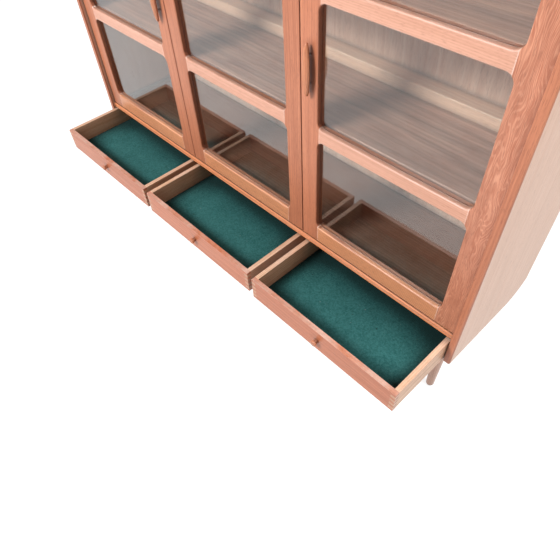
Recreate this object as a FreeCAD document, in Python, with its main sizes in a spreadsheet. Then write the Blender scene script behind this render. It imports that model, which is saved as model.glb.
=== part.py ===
"""Glazed display cabinet on turned legs, with three felt-lined drawers under the case.

Millimetres, +Z up, the front towards -Y. The origin is on the floor, in the middle of the
footprint that the cabinet has with its drawers pulled out as pictured. Every piece is drawn
about the middle of the case depth and then moved back by case_y.
"""
import FreeCAD
import Part
import Sketcher
import math
import os

Vector = FreeCAD.Vector

SIZES = {
    # case
    "case_width": 1400.0,
    "case_depth": 308.0,
    "board": 16.0,
    "side_bottom": 235.0,
    "side_drop": 6.0,
    "bay_height": 70.0,
    "front_corner_radius": 6.0,
    "heel_length": 75.0,
    "heel_rise": 31.0,
    "side_edge_radius": 4.0,
    "side_inner_radius": 1.5,
    "board_nose": 3.0,
    "dado": 6.0,
    "back_thickness": 6.0,
    "back_inset": 2.0,
    "back_rebate": 8.0,
    # shelves
    "shelf_thickness": 16.0,
    "shelf_front_gap": 15.0,
    "shelf_drop": 7.0,
    "shelf_play": 1.0,
    "plate_rail_height": 28.0,
    "plate_rail_depth": 42.0,
    "shelf_pin_radius": 2.5,
    "shelf_pin_depth": 8.0,
    "shelf_pin_inset": 40.0,
    "shelf_tab_length": 10.0,
    "shelf_tab_width": 8.0,
    "shelf_tab_thickness": 2.0,
    # glazed frames
    "frame_gap": 2.0,
    "door_setback": 12.0,
    "rail_forward": 4.0,
    "frame_thickness": 22.0,
    "stile_width": 45.0,
    "stile_flare": 5.0,
    "edge_rail": 44.0,
    "cross_rail": 30.0,
    "pane_height": 246.5,
    "corner_radius": 16.5,
    "opening_arris": 3.0,
    "outer_arris": 2.0,
    "rebate_width": 8.0,
    "rebate_depth": 11.0,
    "glass_thickness": 3.0,
    "glass_play": 1.0,
    "tenon_length": 30.0,
    "tenon_thickness": 7.0,
    "tenon_shoulder": 6.0,
    # door stops and catches
    "contact_gap": 0.3,
    "stop_height": 20.0,
    "stop_depth": 12.0,
    "stop_end_gap": 40.0,
    "catch_radius": 6.0,
    "catch_length": 9.0,
    "catch_plate": 1.2,
    # hinges
    "hinge_inset": 12.0,
    "hinge_depth": 6.0,
    "hinge_pin_radius": 2.2,
    "pin_clearance": 0.05,
    "leaf_length": 40.0,
    "leaf_width": 8.0,
    "leaf_thickness": 2.5,
    "leaf_play": 0.1,
    # pulls
    "pull_length": 105.0,
    "pull_width": 20.0,
    "pull_depth": 11.0,
    "pull_gap": 6.5,
    "pull_shift": 3.0,
    "pull_pin_spacing": 56.0,
    "pull_pin_radius": 2.5,
    "pull_pin_in_stile": 10.0,
    "pull_pin_in_pull": 3.0,
    # drawers
    "divider": 17.0,
    "drawer_play": 2.0,
    "drawer_lift": 0.3,
    "drawer_headroom": 2.7,
    "drawer_stop": 6.7,
    "drawer_stop_width": 30.0,
    "drawer_stop_height": 32.0,
    "drawer_stop_inset": 60.0,
    "drawer_wall": 12.0,
    "drawer_bottom": 5.0,
    "bottom_height": 6.0,
    "bottom_groove": 4.0,
    "felt": 2.0,
    "felt_play": 0.5,
    "left_drawer_out": 181.3,
    "middle_drawer_out": 183.6,
    "right_drawer_out": 187.7,
    "knob_radius": 7.5,
    "knob_neck_radius": 5.5,
    "knob_length": 14.0,
    "knob_head": 8.0,
    "knob_round": 2.5,
    "knob_tenon_radius": 4.0,
    # base and legs
    "base_height": 24.0,
    "base_end_width": 64.0,
    "base_long_width": 44.0,
    "leg_inset": 50.0,
    "rear_leg_inset": 59.0,
    "leg_spread": 88.0,
    "leg_top_radius": 16.0,
    "leg_foot_radius": 10.5,
    "leg_foot_round": 2.0,
    "leg_dowel_radius": 7.0,
    "leg_dowel_length": 18.0,
    "glide_radius": 9.0,
    "glide_height": 4.0,
    "glide_round": 1.0,
    "glide_stem_radius": 2.5,
    "glide_stem_length": 14.0,
}

# A comb joint has an odd number of equal fingers, and the front and back boards have one more than the sides.
COMB_PARTS = 9
# Cross-sections that shape each half of a pull, from the middle to the tip.
PULL_STATIONS = 4
# How wide and how deep a pull is at its tips, as shares of its middle, and how fast its width falls off.
PULL_TIP_WIDTH = 0.12
PULL_TIP_DEPTH = 0.35
PULL_TAPER = 1.3
PANES = 3


class Size:
    """A length that knows its value and the sheet expression that it comes from."""

    def __init__(self, value, text):
        self.value = float(value)
        self.text = text

    @staticmethod
    def of(other):
        if isinstance(other, Size):
            return other
        return Size(other, "({:.9f})".format(other))

    def __add__(self, other):
        other = Size.of(other)
        return Size(self.value + other.value, f"({self.text} + {other.text})")

    __radd__ = __add__

    def __sub__(self, other):
        other = Size.of(other)
        return Size(self.value - other.value, f"({self.text} - {other.text})")

    def __rsub__(self, other):
        return Size.of(other) - self

    def __mul__(self, other):
        other = Size.of(other)
        return Size(self.value * other.value, f"({self.text} * {other.text})")

    __rmul__ = __mul__

    def __truediv__(self, other):
        other = Size.of(other)
        return Size(self.value / other.value, f"({self.text} / {other.text})")

    def __neg__(self):
        return Size(0, "0") - self


class Dimensions:
    """The driving dimensions: each is a cell of the sheet and an attribute here."""

    def __init__(self, document, sizes):
        self.sheet = document.addObject("Spreadsheet::Sheet", "dims")
        for row, (name, value) in enumerate(sizes.items(), start=1):
            self.sheet.set(f"A{row}", name)
            self.sheet.set(f"B{row}", str(value))
            self.sheet.setAlias(f"B{row}", name)
            setattr(self, name, Size(value, f"dims.{name}"))
        document.recompute()


doc = FreeCAD.newDocument("display_cabinet")
d = Dimensions(doc, SIZES)
nodes = []

# Levels above the floor
bay_top = d.side_bottom + d.bay_height
floor_top = bay_top + d.board
frame_bottom = floor_top + d.frame_gap
frame_height = d.pane_height * PANES + d.cross_rail * (PANES - 1) + d.edge_rail * 2
frame_top = frame_bottom + frame_height
top_underside = frame_top + d.frame_gap
case_top = top_underside + d.board
base_underside = d.side_bottom - d.base_height

# Depths from the middle of the case, negative towards the front
half_depth = d.case_depth / 2
door_face = d.door_setback - half_depth
frame_back = door_face + d.frame_thickness
rail_face = door_face - d.rail_forward
back_front = half_depth - d.back_inset - d.back_thickness
drawer_depth = back_front - d.drawer_stop - d.contact_gap - rail_face

# Widths from the middle of the case
half_width = d.case_width / 2
half_inside = half_width - d.board
frame_width = (half_inside * 2 - d.frame_gap * (PANES + 1)) / PANES
joint_line = d.stile_width + d.stile_flare
drawer_pitch = (half_inside * 2 - d.divider * 2) / 3 + d.divider
drawer_width = drawer_pitch - d.divider - d.drawer_play * 2
drawer_height = d.bay_height - d.drawer_lift - d.drawer_headroom
finger = drawer_height / COMB_PARTS

# The footprint reaches from the right drawer's knob to the back of the case
case_y = (d.right_drawer_out + d.knob_length - rail_face - half_depth) / 2


def bind(item, name, size):
    """Ties a property to the sheet."""
    item.setExpression(name, Size.of(size).text)


def node(item, label, x=0, y=0, z=0):
    """Names a finished piece and moves it from the case's middle to its place."""
    item.Label = label
    bind(item, "Placement.Base.x", x)
    bind(item, "Placement.Base.y", case_y + y)
    bind(item, "Placement.Base.z", z)
    nodes.append(item)
    return item


def new_body(name):
    return doc.addObject("PartDesign::Body", name)


def new_sketch(body, name, plane, offset=None):
    """An empty sketch on one of the body's own origin planes."""
    sketch = body.newObject("Sketcher::SketchObject", name)
    support = [item for item in body.Origin.OriginFeatures if item.Role == plane + "_Plane"][0]
    sketch.AttachmentSupport = [(support, "")]
    sketch.MapMode = "FlatFace"
    if offset is not None:
        bind(sketch, "AttachmentOffset.Base.z", offset)
    return sketch


def hold(sketch, kind, *arguments):
    """Adds a constraint; a last argument that is a Size is its bound value."""
    size = arguments[-1]
    if isinstance(size, Size):
        index = sketch.addConstraint(Sketcher.Constraint(kind, *arguments[:-1], size.value))
        sketch.setExpression(f"Constraints[{index}]", size.text)
        return
    sketch.addConstraint(Sketcher.Constraint(kind, *arguments))


def place_point(sketch, geometry, position, point):
    """Fixes a point of the sketch at a bound place."""
    hold(sketch, "DistanceX", -1, 1, geometry, position, Size.of(point[0]))
    hold(sketch, "DistanceY", -1, 1, geometry, position, Size.of(point[1]))


def numbers(point):
    return Vector(Size.of(point[0]).value, Size.of(point[1]).value, 0)


class Arc:
    """An arc of an outline, from the corner before it to the corner after it.

    Its centre is held along one axis, and the two corners settle the other.
    """

    def __init__(self, centre, clockwise, held="x"):
        self.centre = centre
        self.clockwise = clockwise
        self.held = held


def draw_outline(sketch, items):
    """Draws a closed outline: points, with an Arc between two points where the edge is round."""
    points = [item for item in items if not isinstance(item, Arc)]
    arcs = {}
    count = -1
    for item in items:
        if isinstance(item, Arc):
            arcs[count] = item
        else:
            count += 1
    ends = []
    for index, start in enumerate(points):
        first = numbers(start)
        last = numbers(points[(index + 1) % len(points)])
        arc = arcs.get(index)
        if arc is None:
            geometry = sketch.addGeometry(Part.LineSegment(first, last), False)
            ends.append((geometry, 1, 2))
            continue
        centre = numbers(arc.centre)
        circle = Part.Circle(centre, Vector(0, 0, 1), (first - centre).Length)
        turns = [math.atan2((point - centre).y, (point - centre).x) for point in (first, last)]
        if arc.clockwise:
            turns.reverse()
        if turns[1] <= turns[0]:
            turns[1] += 2 * math.pi
        geometry = sketch.addGeometry(Part.ArcOfCircle(circle, turns[0], turns[1]), False)
        ends.append((geometry, 2, 1) if arc.clockwise else (geometry, 1, 2))
    for index, start in enumerate(points):
        geometry, begin, end = ends[index]
        follower = ends[(index + 1) % len(points)]
        hold(sketch, "Coincident", geometry, end, follower[0], follower[1])
        place_point(sketch, geometry, begin, start)
        if index in arcs:
            axis = arcs[index].held
            centre = arcs[index].centre
            if axis == "x":
                hold(sketch, "DistanceX", -1, 1, geometry, 3, Size.of(centre[0]))
            else:
                hold(sketch, "DistanceY", -1, 1, geometry, 3, Size.of(centre[1]))
    return sketch


def outline(body, name, plane, items, offset=None):
    return draw_outline(new_sketch(body, name, plane, offset), items)


def rectangle(low, high):
    return [low, (high[0], low[1]), high, (low[0], high[1])]


def rounded_rectangle(low, high, radius):
    """A rectangle's outline with quarter-round corners."""
    left, bottom = low
    right, top = high
    return [
        (left + radius, bottom),
        (right - radius, bottom),
        Arc((right - radius, bottom + radius), clockwise=False),
        (right, bottom + radius),
        (right, top - radius),
        Arc((right - radius, top - radius), clockwise=False),
        (right - radius, top),
        (left + radius, top),
        Arc((left + radius, top - radius), clockwise=False),
        (left, top - radius),
        (left, bottom + radius),
        Arc((left + radius, bottom + radius), clockwise=False),
    ]


def circles(body, name, plane, centres, radius, offset=None):
    """A sketch of equal circles."""
    sketch = new_sketch(body, name, plane, offset)
    for centre in centres:
        geometry = sketch.addGeometry(Part.Circle(numbers(centre), Vector(0, 0, 1), radius.value), False)
        place_point(sketch, geometry, 3, centre)
        hold(sketch, "Radius", geometry, radius)
    return sketch


def pad(body, sketch, length, backwards=False):
    feature = body.newObject("PartDesign::Pad", sketch.Name + "_pad")
    feature.Profile = sketch
    bind(feature, "Length", length)
    feature.Reversed = backwards
    return feature


def pocket(body, sketch, depth, backwards=False):
    """Cuts a sketch into the body, and makes sure that it met the solid."""
    doc.recompute()
    before = body.Shape.Volume
    feature = body.newObject("PartDesign::Pocket", sketch.Name + "_pocket")
    feature.Profile = sketch
    bind(feature, "Length", depth)
    feature.Reversed = backwards
    doc.recompute()
    if not body.Shape.Volume < before:
        raise RuntimeError(f"{feature.Name} cuts nothing")
    return feature


def revolve(body, sketch, axis):
    feature = body.newObject("PartDesign::Revolution", sketch.Name + "_turned")
    feature.Profile = sketch
    feature.ReferenceAxis = (sketch, [axis])
    feature.Angle = 360
    return feature


def lies_at(edge, **places):
    """True for an edge that lies wholly at the given x, y or z."""
    box = edge.BoundBox
    for axis, size in places.items():
        low = getattr(box, axis.upper() + "Min")
        high = getattr(box, axis.upper() + "Max")
        value = Size.of(size).value
        if abs(low - value) > 0.01 or abs(high - value) > 0.01:
            return False
    return True


def round_edges(body, name, radius, choose):
    """Rounds the edges of the body that the choose function picks."""
    doc.recompute()
    base = body.Tip
    names = [f"Edge{index}" for index, edge in enumerate(base.Shape.Edges, start=1) if choose(edge)]
    if not names:
        raise RuntimeError(f"{name} finds no edge")
    feature = body.newObject("PartDesign::Fillet", name)
    feature.Base = (base, names)
    bind(feature, "Radius", radius)
    return feature


def board(name, low, high, nose=None):
    """A plank between two corners; nose rounds the long edges at its front."""
    body = new_body(name)
    sketch = outline(body, name + "_outline", "XY", rectangle(low[:2], high[:2]), offset=low[2])
    pad(body, sketch, high[2] - low[2])
    if nose is not None:
        round_edges(body, name + "_nose", nose,
                    lambda edge: lies_at(edge, y=low[1]) and edge.BoundBox.XLength > 30)
    return body


def block(name, low, high):
    """A plain box between two corners."""
    item = doc.addObject("Part::Box", name)
    for side, axis, index in (("Length", "x", 0), ("Width", "y", 1), ("Height", "z", 2)):
        bind(item, side, Size.of(high[index]) - low[index])
        bind(item, f"Placement.Base.{axis}", low[index])
    return item


def rod(name, start, length, radius, direction):
    """A cylinder that runs from start along the given direction."""
    item = doc.addObject("Part::Cylinder", name)
    bind(item, "Radius", radius)
    bind(item, "Height", length)
    turn = FreeCAD.Rotation(Vector(0, 0, 1), Vector(*direction))
    item.Placement = FreeCAD.Placement(Vector(0, 0, 0), turn)
    for axis, size in zip("xyz", start):
        bind(item, f"Placement.Base.{axis}", size)
    return item


def cut(name, base, tool):
    item = doc.addObject("Part::Cut", name)
    item.Base = base
    item.Tool = tool
    return item


def common(name, base, tool):
    item = doc.addObject("Part::Common", name)
    item.Base = base
    item.Tool = tool
    return item


def fuse(name, shapes):
    item = doc.addObject("Part::MultiFuse", name)
    item.Shapes = shapes
    return item


def group(name, links):
    """Separate solids that share one node."""
    item = doc.addObject("Part::Compound", name)
    item.Links = links
    return item


def mirrored(label, source):
    """The same piece on the other side of the cabinet."""
    item = doc.addObject("Part::Mirroring", label)
    item.Source = source
    item.Normal = Vector(1, 0, 0)
    item.Label = label
    nodes.append(item)
    return item


def shelf_top(index):
    """The upper face of the shelf behind cross rail number index, counted from below."""
    rail_top = frame_bottom + d.edge_rail + (d.pane_height + d.cross_rail) * index
    return rail_top - d.shelf_drop


shelf_front = frame_back + d.shelf_front_gap
shelf_tops = [shelf_top(1), shelf_top(2)]
pin_depths = [shelf_front + d.shelf_pin_inset, back_front - d.shelf_pin_inset]
pin_levels = [top - d.shelf_thickness - d.shelf_tab_thickness for top in shelf_tops]


def side_panels():
    """The sides reach past the base frame's top; their front foot is eased and their heel sweeps up."""
    body = new_body("side_right")
    radius = d.front_corner_radius
    heel_start = half_depth - d.heel_length
    heel_top = d.side_bottom + d.heel_rise
    bottom = d.side_bottom - d.side_drop
    rise = heel_top - bottom
    sweep = (d.heel_length * d.heel_length + rise * rise) / (rise * 2)
    profile = outline(body, "side_profile", "YZ", [
        (-half_depth, case_top),
        (-half_depth, bottom + radius),
        Arc((radius - half_depth, bottom + radius), clockwise=False),
        (radius - half_depth, bottom),
        (heel_start, bottom),
        Arc((heel_start, bottom + sweep), clockwise=False),
        (half_depth, heel_top),
        (half_depth, case_top),
    ])
    pad(body, profile, d.board)
    floor_dado = outline(body, "side_floor_dado", "YZ", rectangle(
        (rail_face + d.board, bay_top), (back_front, floor_top)))
    pocket(body, floor_dado, d.dado, backwards=True)
    top_rebate = outline(body, "side_top_rebate", "YZ", rectangle(
        (-half_depth, top_underside), (half_depth, case_top)))
    pocket(body, top_rebate, d.dado, backwards=True)
    back_groove = outline(body, "side_back_groove", "YZ", rectangle(
        (back_front, heel_top), (back_front + d.back_thickness, top_underside)))
    pocket(body, back_groove, d.back_rebate, backwards=True)
    places = [(depth, level - d.shelf_pin_radius) for depth in pin_depths for level in pin_levels]
    bores = circles(body, "side_pin_bores", "YZ", places, d.shelf_pin_radius)
    pocket(body, bores, d.shelf_pin_depth, backwards=True)
    round_edges(body, "side_front_round", d.side_edge_radius,
                lambda edge: lies_at(edge, x=d.board, y=-half_depth))
    round_edges(body, "side_inner_round", d.side_inner_radius,
                lambda edge: lies_at(edge, x=0, y=-half_depth))
    right = node(body, "side_right", x=half_inside)
    mirrored("side_left", right)


def case_boards():
    """Top, floor and back of the case."""
    reach = half_inside + d.dado
    top = board("top_panel", (-reach, -half_depth, top_underside), (reach, half_depth, case_top))
    round_edges(top, "top_panel_nose", d.board_nose, lambda edge: lies_at(edge, y=-half_depth, z=case_top))
    node(top, "top_panel")

    floor = new_body("case_floor")
    bead = d.board / 4
    bead_y = rail_face + bead
    profile = outline(floor, "case_floor_profile", "YZ", [
        (bead_y, floor_top),
        Arc((bead_y, bay_top + bead * 3), clockwise=False),
        (bead_y, bay_top + bead * 2),
        Arc((bead_y, bay_top + bead), clockwise=False),
        (bead_y, bay_top),
        (back_front, bay_top),
        (back_front, floor_top),
    ], offset=-half_inside)
    pad(floor, profile, half_inside * 2)
    tongues = outline(floor, "case_floor_tongues", "YZ", rectangle(
        (rail_face + d.board, bay_top), (back_front, floor_top)), offset=-reach)
    pad(floor, tongues, reach * 2)
    node(floor, "case_floor")

    groove_reach = half_inside + d.back_rebate
    back = board("back_panel", (-groove_reach, back_front, d.side_bottom + d.heel_rise),
                 (groove_reach, back_front + d.back_thickness, top_underside))
    node(back, "back_panel")


def shelves():
    """Two shelves on pins, hidden behind the cross rails, each with a raised plate rail at the back."""
    half = half_inside - d.shelf_play
    plate_front = back_front - d.plate_rail_depth
    plates = []
    for label, top in zip(("shelf_lower", "shelf_upper"), shelf_tops):
        plank = board(label, (-half, shelf_front, top - d.shelf_thickness), (half, back_front, top),
                      nose=d.board_nose)
        node(plank, label)
        plate = board(label + "_plate", (-half, plate_front, top),
                      (half, back_front, top + d.plate_rail_height))
        round_edges(plate, label + "_plate_round", d.board_nose,
                    lambda edge, level=top + d.plate_rail_height: lies_at(edge, y=plate_front, z=level))
        plates.append(plate)
    node(group("plate_rails", plates), "plate_rails")

    pins = []
    for side, name in ((1, "right"), (-1, "left")):
        for row, level in enumerate(pin_levels):
            for column, depth in enumerate(pin_depths):
                tag = f"shelf_pin_{name}_{row}{column}"
                wall = half_inside * side
                inner = wall - d.shelf_tab_length * side
                stem = rod(tag + "_stem", (wall, depth, level - d.shelf_pin_radius), d.shelf_pin_depth,
                           d.shelf_pin_radius, (side, 0, 0))
                low, high = (inner, wall) if side > 0 else (wall, inner)
                tab_half = d.shelf_tab_width / 2
                tab = block(tag + "_tab", (low, depth - tab_half, level - d.shelf_pin_radius * 2),
                            (high, depth + tab_half, level + d.shelf_tab_thickness))
                pins.append(fuse(tag, [stem, tab]))
    node(group("shelf_pins", pins), "shelf_pins")


def opening_corners(index):
    """Low and high corner of pane opening number index in a frame's own front view."""
    bottom = d.edge_rail + (d.pane_height + d.cross_rail) * index
    return (d.stile_width, bottom), (frame_width - d.stile_width, bottom + d.pane_height)


def frame_masters():
    """One glazed frame, drawn whole and then parted into its stiles and rails at the joint lines.

    Local x runs from the left edge, y from the front face backwards, z from the lower edge.
    The openings' round corners start on the stiles and end on the rails, as they are routed after
    the frame is glued up.
    """
    body = new_body("frame_whole")
    blank = outline(body, "frame_blank", "XZ", rectangle((0, 0), (frame_width, frame_height)))
    pad(body, blank, d.frame_thickness, backwards=True)
    for index in range(PANES):
        low, high = opening_corners(index)
        hole = outline(body, f"frame_opening_{index}", "XZ", rounded_rectangle(low, high, d.corner_radius))
        pocket(body, hole, d.frame_thickness)
        rebate_low = tuple(size - d.rebate_width for size in low)
        rebate_high = tuple(size + d.rebate_width for size in high)
        rebate = outline(body, f"frame_rebate_{index}", "XZ", rectangle(rebate_low, rebate_high),
                         offset=-d.frame_thickness)
        pocket(body, rebate, d.rebate_depth, backwards=True)

    def on_rim(edge):
        return (lies_at(edge, x=0) or lies_at(edge, x=frame_width)
                or lies_at(edge, z=0) or lies_at(edge, z=frame_height))

    round_edges(body, "frame_opening_arris", d.opening_arris,
                lambda edge: lies_at(edge, y=0) and not on_rim(edge))
    round_edges(body, "frame_outer_arris", d.outer_arris, lambda edge: lies_at(edge, y=0) and on_rim(edge))

    tenons = {"left": [], "right": []}
    rails = [(0, d.edge_rail)]
    for index in range(1, PANES):
        rail_bottom = d.edge_rail + d.pane_height * index + d.cross_rail * (index - 1)
        rails.append((rail_bottom, rail_bottom + d.cross_rail))
    rails.append((frame_height - d.edge_rail, frame_height))
    middle = (d.frame_thickness - d.rebate_depth) / 2
    far_line = frame_width - joint_line
    for row, (bottom, top) in enumerate(rails):
        for side, near, far in (("left", joint_line - d.tenon_length, joint_line),
                                ("right", far_line, far_line + d.tenon_length)):
            tenons[side].append(block(
                f"tenon_{side}_{row}",
                (near, middle - d.tenon_thickness / 2, bottom + d.tenon_shoulder),
                (far, middle + d.tenon_thickness / 2, top - d.tenon_shoulder)))

    deep = d.frame_thickness
    left_zone = block("left_zone", (0, 0, 0), (joint_line, deep, frame_height))
    rail_zone = block("rail_zone", (joint_line, 0, 0), (far_line, deep, frame_height))
    right_zone = block("right_zone", (far_line, 0, 0), (frame_width, deep, frame_height))
    left = cut("frame_left_stile", common("left_part", body, left_zone),
               group("left_tenons", tenons["left"]))
    right = cut("frame_right_stile", common("right_part", body, right_zone),
                group("right_tenons", tenons["right"]))
    rail_set = fuse("frame_rails", [common("rail_part", body, rail_zone), *tenons["left"], *tenons["right"]])

    panes = []
    beads = []
    glass_front = d.frame_thickness - d.rebate_depth
    glass_back = glass_front + d.glass_thickness
    reach = d.rebate_width - d.glass_play
    for index in range(PANES):
        (left_edge, low), (right_edge, high) = opening_corners(index)
        panes.append(block(f"pane_{index}", (left_edge - reach, glass_front, low - reach),
                           (right_edge + reach, glass_back, high + reach)))
        outer = d.rebate_width
        strips = {
            "left": ((left_edge - outer, low - outer), (left_edge, high + outer)),
            "right": ((right_edge, low - outer), (right_edge + outer, high + outer)),
            "lower": ((left_edge, low - outer), (right_edge, low)),
            "upper": ((left_edge, high), (right_edge, high + outer)),
        }
        for place, (start, end) in strips.items():
            beads.append(block(f"bead_{place}_{index}", (start[0], glass_back, start[1]),
                               (end[0], d.frame_thickness, end[1])))
    return left, rail_set, right, group("frame_panes", panes), group("frame_beads", beads)


def middle_frame(left, rail_set, right, panes, beads):
    """The fixed frame between the doors."""
    place = {"x": -(frame_width / 2), "y": door_face, "z": frame_bottom}
    node(group("window_stiles", [left, right]), "window_stiles", **place)
    node(group("window_rails", [rail_set]), "window_rails", **place)
    node(group("window_panes", [panes]), "window_panes", **place)
    node(group("window_beads", [beads]), "window_beads", **place)


def hinge_plate(name, low, high):
    """A flat plate with round ends, from the hinge's axis along the door, between two levels."""
    x, y, radius = d.hinge_inset, d.hinge_depth, d.leaf_width / 2
    far = x + d.leaf_length - d.leaf_width
    return fuse(name, [
        block(name + "_middle", (x, y - radius, low), (far, y + radius, high)),
        rod(name + "_near_end", (x, y, low), high - low, radius, (0, 0, 1)),
        rod(name + "_far_end", (far, y, low), high - low, radius, (0, 0, 1)),
    ])


def hinges():
    """Knife hinges at the foot and the head of the left door, in the door's own coordinates.

    The case leaf lies in the gap above or below the door and carries the pin; the door leaf is let
    flush into the stile's end and turns on the pin.
    """
    axis = (d.hinge_inset, d.hinge_depth)
    foot = {
        "case": (-d.frame_gap, -d.leaf_play),
        "door": (Size.of(0), d.leaf_thickness),
        "pin": (-d.frame_gap, d.leaf_thickness - d.contact_gap),
    }
    head = {part: (frame_height - high, frame_height - low) for part, (low, high) in foot.items()}
    case_leaves = []
    door_leaves = []
    recesses = []
    for name, levels in (("foot", foot), ("head", head)):
        low, high = levels["pin"]
        pin = rod(f"hinge_{name}_pin", (*axis, low), high - low, d.hinge_pin_radius, (0, 0, 1))
        plate = hinge_plate(f"hinge_{name}_case_plate", *levels["case"])
        case_leaves.append(fuse(f"hinge_{name}_case_leaf", [plate, pin]))

        low, high = levels["door"]
        recess = hinge_plate(f"hinge_{name}_door_plate", low, high)
        bore = rod(f"hinge_{name}_bore", (*axis, low), high - low,
                   d.hinge_pin_radius + d.pin_clearance, (0, 0, 1))
        door_leaves.append(cut(f"hinge_{name}_door_leaf", recess, bore))
        recesses.append(recess)
    return (group("hinge_case_leaves_left", case_leaves), group("door_left_hinge_leaves", door_leaves),
            group("hinge_recesses", recesses))


def pull_solid():
    """A leaf-shaped pull: lens-shaped from the front, straight along its back, oval in section."""
    sections = []
    half = d.pull_length / 2
    for step in range(-PULL_STATIONS, PULL_STATIONS + 1):
        turn = math.pi / 2 * step / PULL_STATIONS
        height = math.sin(turn)
        fullness = PULL_TIP_WIDTH + (1 - PULL_TIP_WIDTH) * math.cos(turn) ** PULL_TAPER
        depth = d.pull_depth * (PULL_TIP_DEPTH + (1 - PULL_TIP_DEPTH) * math.cos(turn))
        width = d.pull_width * fullness
        oval = doc.addObject("Part::Ellipse", "pull_section")
        wide = width.value >= depth.value
        bind(oval, "MajorRadius", (width if wide else depth) / 2)
        bind(oval, "MinorRadius", (depth if wide else width) / 2)
        oval.Placement.Rotation = FreeCAD.Rotation(Vector(0, 0, 1), 0 if wide else 90)
        bind(oval, "Placement.Base.y", -d.pull_gap - depth / 2)
        bind(oval, "Placement.Base.z", half * height)
        sections.append(oval)
    loft = doc.addObject("Part::Loft", "pull_loft")
    loft.Sections = sections
    loft.Solid = True
    loft.Ruled = False
    return loft


def pull_and_pins():
    """The pull and its two metal pins, about the middle of the pull on the stile's face."""
    pins = []
    for side in (-1, 1):
        pins.append(rod("pull_pin", (0, d.pull_pin_in_stile, d.pull_pin_spacing / 2 * side),
                        d.pull_gap + d.pull_pin_in_stile + d.pull_pin_in_pull, d.pull_pin_radius,
                        (0, -1, 0)))
    pair = group("pull_pin_pair", pins)
    return cut("pull_drilled", pull_solid(), pair), pair


def doors(left, rail_set, right, panes, beads):
    """The left door hangs on the left side panel and carries its pull next to the middle frame."""
    door_x = d.frame_gap - half_inside
    place = {"x": door_x, "y": door_face, "z": frame_bottom}
    case_leaves, door_leaves, recesses = hinges()
    pull, pins = pull_and_pins()

    pull_x = frame_width - d.stile_width / 2 - d.pull_shift
    pull_z = frame_height / 2
    plate_x = frame_width - d.stile_width / 2
    plate_levels = [d.stop_height / 2 - d.frame_gap, frame_height - d.stop_height / 2 + d.frame_gap]
    plates = [rod("catch_plate", (plate_x, d.frame_thickness - d.catch_plate, level), d.catch_plate,
                  d.catch_radius, (0, 1, 0)) for level in plate_levels]
    plate_pair = group("catch_plate_pair", plates)
    pin_holes = group("pull_pin_holes", [pins])
    bind(pin_holes, "Placement.Base.x", pull_x)
    bind(pin_holes, "Placement.Base.z", pull_z)
    drilled = cut("pull_stile_drilled", right, pin_holes)
    stile = cut("pull_stile_finished", drilled, plate_pair)
    hinge_stile = cut("hinge_stile_finished", left, recesses)

    pull_place = {"x": door_x + pull_x, "y": door_face, "z": frame_bottom + pull_z}
    pieces = {
        "hinge_stile": node(hinge_stile, "door_left_hinge_stile", **place),
        "pull_stile": node(stile, "door_left_pull_stile", **place),
        "rails": node(group("door_left_rails", [rail_set]), "door_left_rails", **place),
        "panes": node(group("door_left_panes", [panes]), "door_left_panes", **place),
        "beads": node(group("door_left_beads", [beads]), "door_left_beads", **place),
        "pull": node(pull, "door_left_pull", **pull_place),
        "pull_pins": node(group("door_left_pull_pins", [pins]), "door_left_pull_pins", **pull_place),
        "hinge_leaves": node(door_leaves, "door_left_hinge_leaves", **place),
        "catch_plates": node(group("door_left_catch_plates", [plate_pair]), "door_left_catch_plates",
                             **place),
    }
    for name, piece in pieces.items():
        mirrored("door_right_" + name, piece)

    for axis, size in place.items():
        bind(case_leaves, f"Placement.Base.{axis}", size)
    other = doc.addObject("Part::Mirroring", "hinge_case_leaves_right")
    other.Source = case_leaves
    other.Normal = Vector(1, 0, 0)
    node(group("hinge_case_leaves", [case_leaves, other]), "hinge_case_leaves")
    return door_x + plate_x, [frame_bottom + level for level in plate_levels]


def door_stops(catch_x, catch_levels):
    """Stop strips on the case floor and under the top, with the magnets of the catches let in.

    They end short of the side panels, where the doors' rear corners turn.
    """
    front = frame_back + d.contact_gap
    back = front + d.stop_depth
    reach = half_inside - d.stop_end_gap
    magnets = []
    strips = []
    for name, low, high, level in (("lower", floor_top, floor_top + d.stop_height, catch_levels[0]),
                                   ("upper", top_underside - d.stop_height, top_underside, catch_levels[1])):
        row = [rod(f"magnet_{name}", (catch_x * side, front, level), d.catch_length, d.catch_radius,
                   (0, 1, 0)) for side in (-1, 1)]
        magnets.extend(row)
        strip = block(f"stop_blank_{name}", (-reach, front, low), (reach, back, high))
        strips.append(cut(f"stop_{name}", strip, group(f"magnet_row_{name}", row)))
    node(group("door_stops", strips), "door_stops")
    node(group("door_catches", magnets), "door_catches")


drawer_bottom_level = d.side_bottom + d.drawer_lift


def comb_pattern(body, notch, count):
    """Cuts a notch through the wall and repeats it up the corner, one finger apart."""
    first = pocket(body, notch, d.drawer_wall)
    comb = body.newObject("PartDesign::LinearPattern", notch.Name + "_comb")
    comb.Originals = [first]
    comb.Direction = (notch, ["V_Axis"])
    comb.Occurrences = count
    bind(comb, "Length", finger * 2 * (count - 1))
    body.Tip = comb
    doc.recompute()


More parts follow.
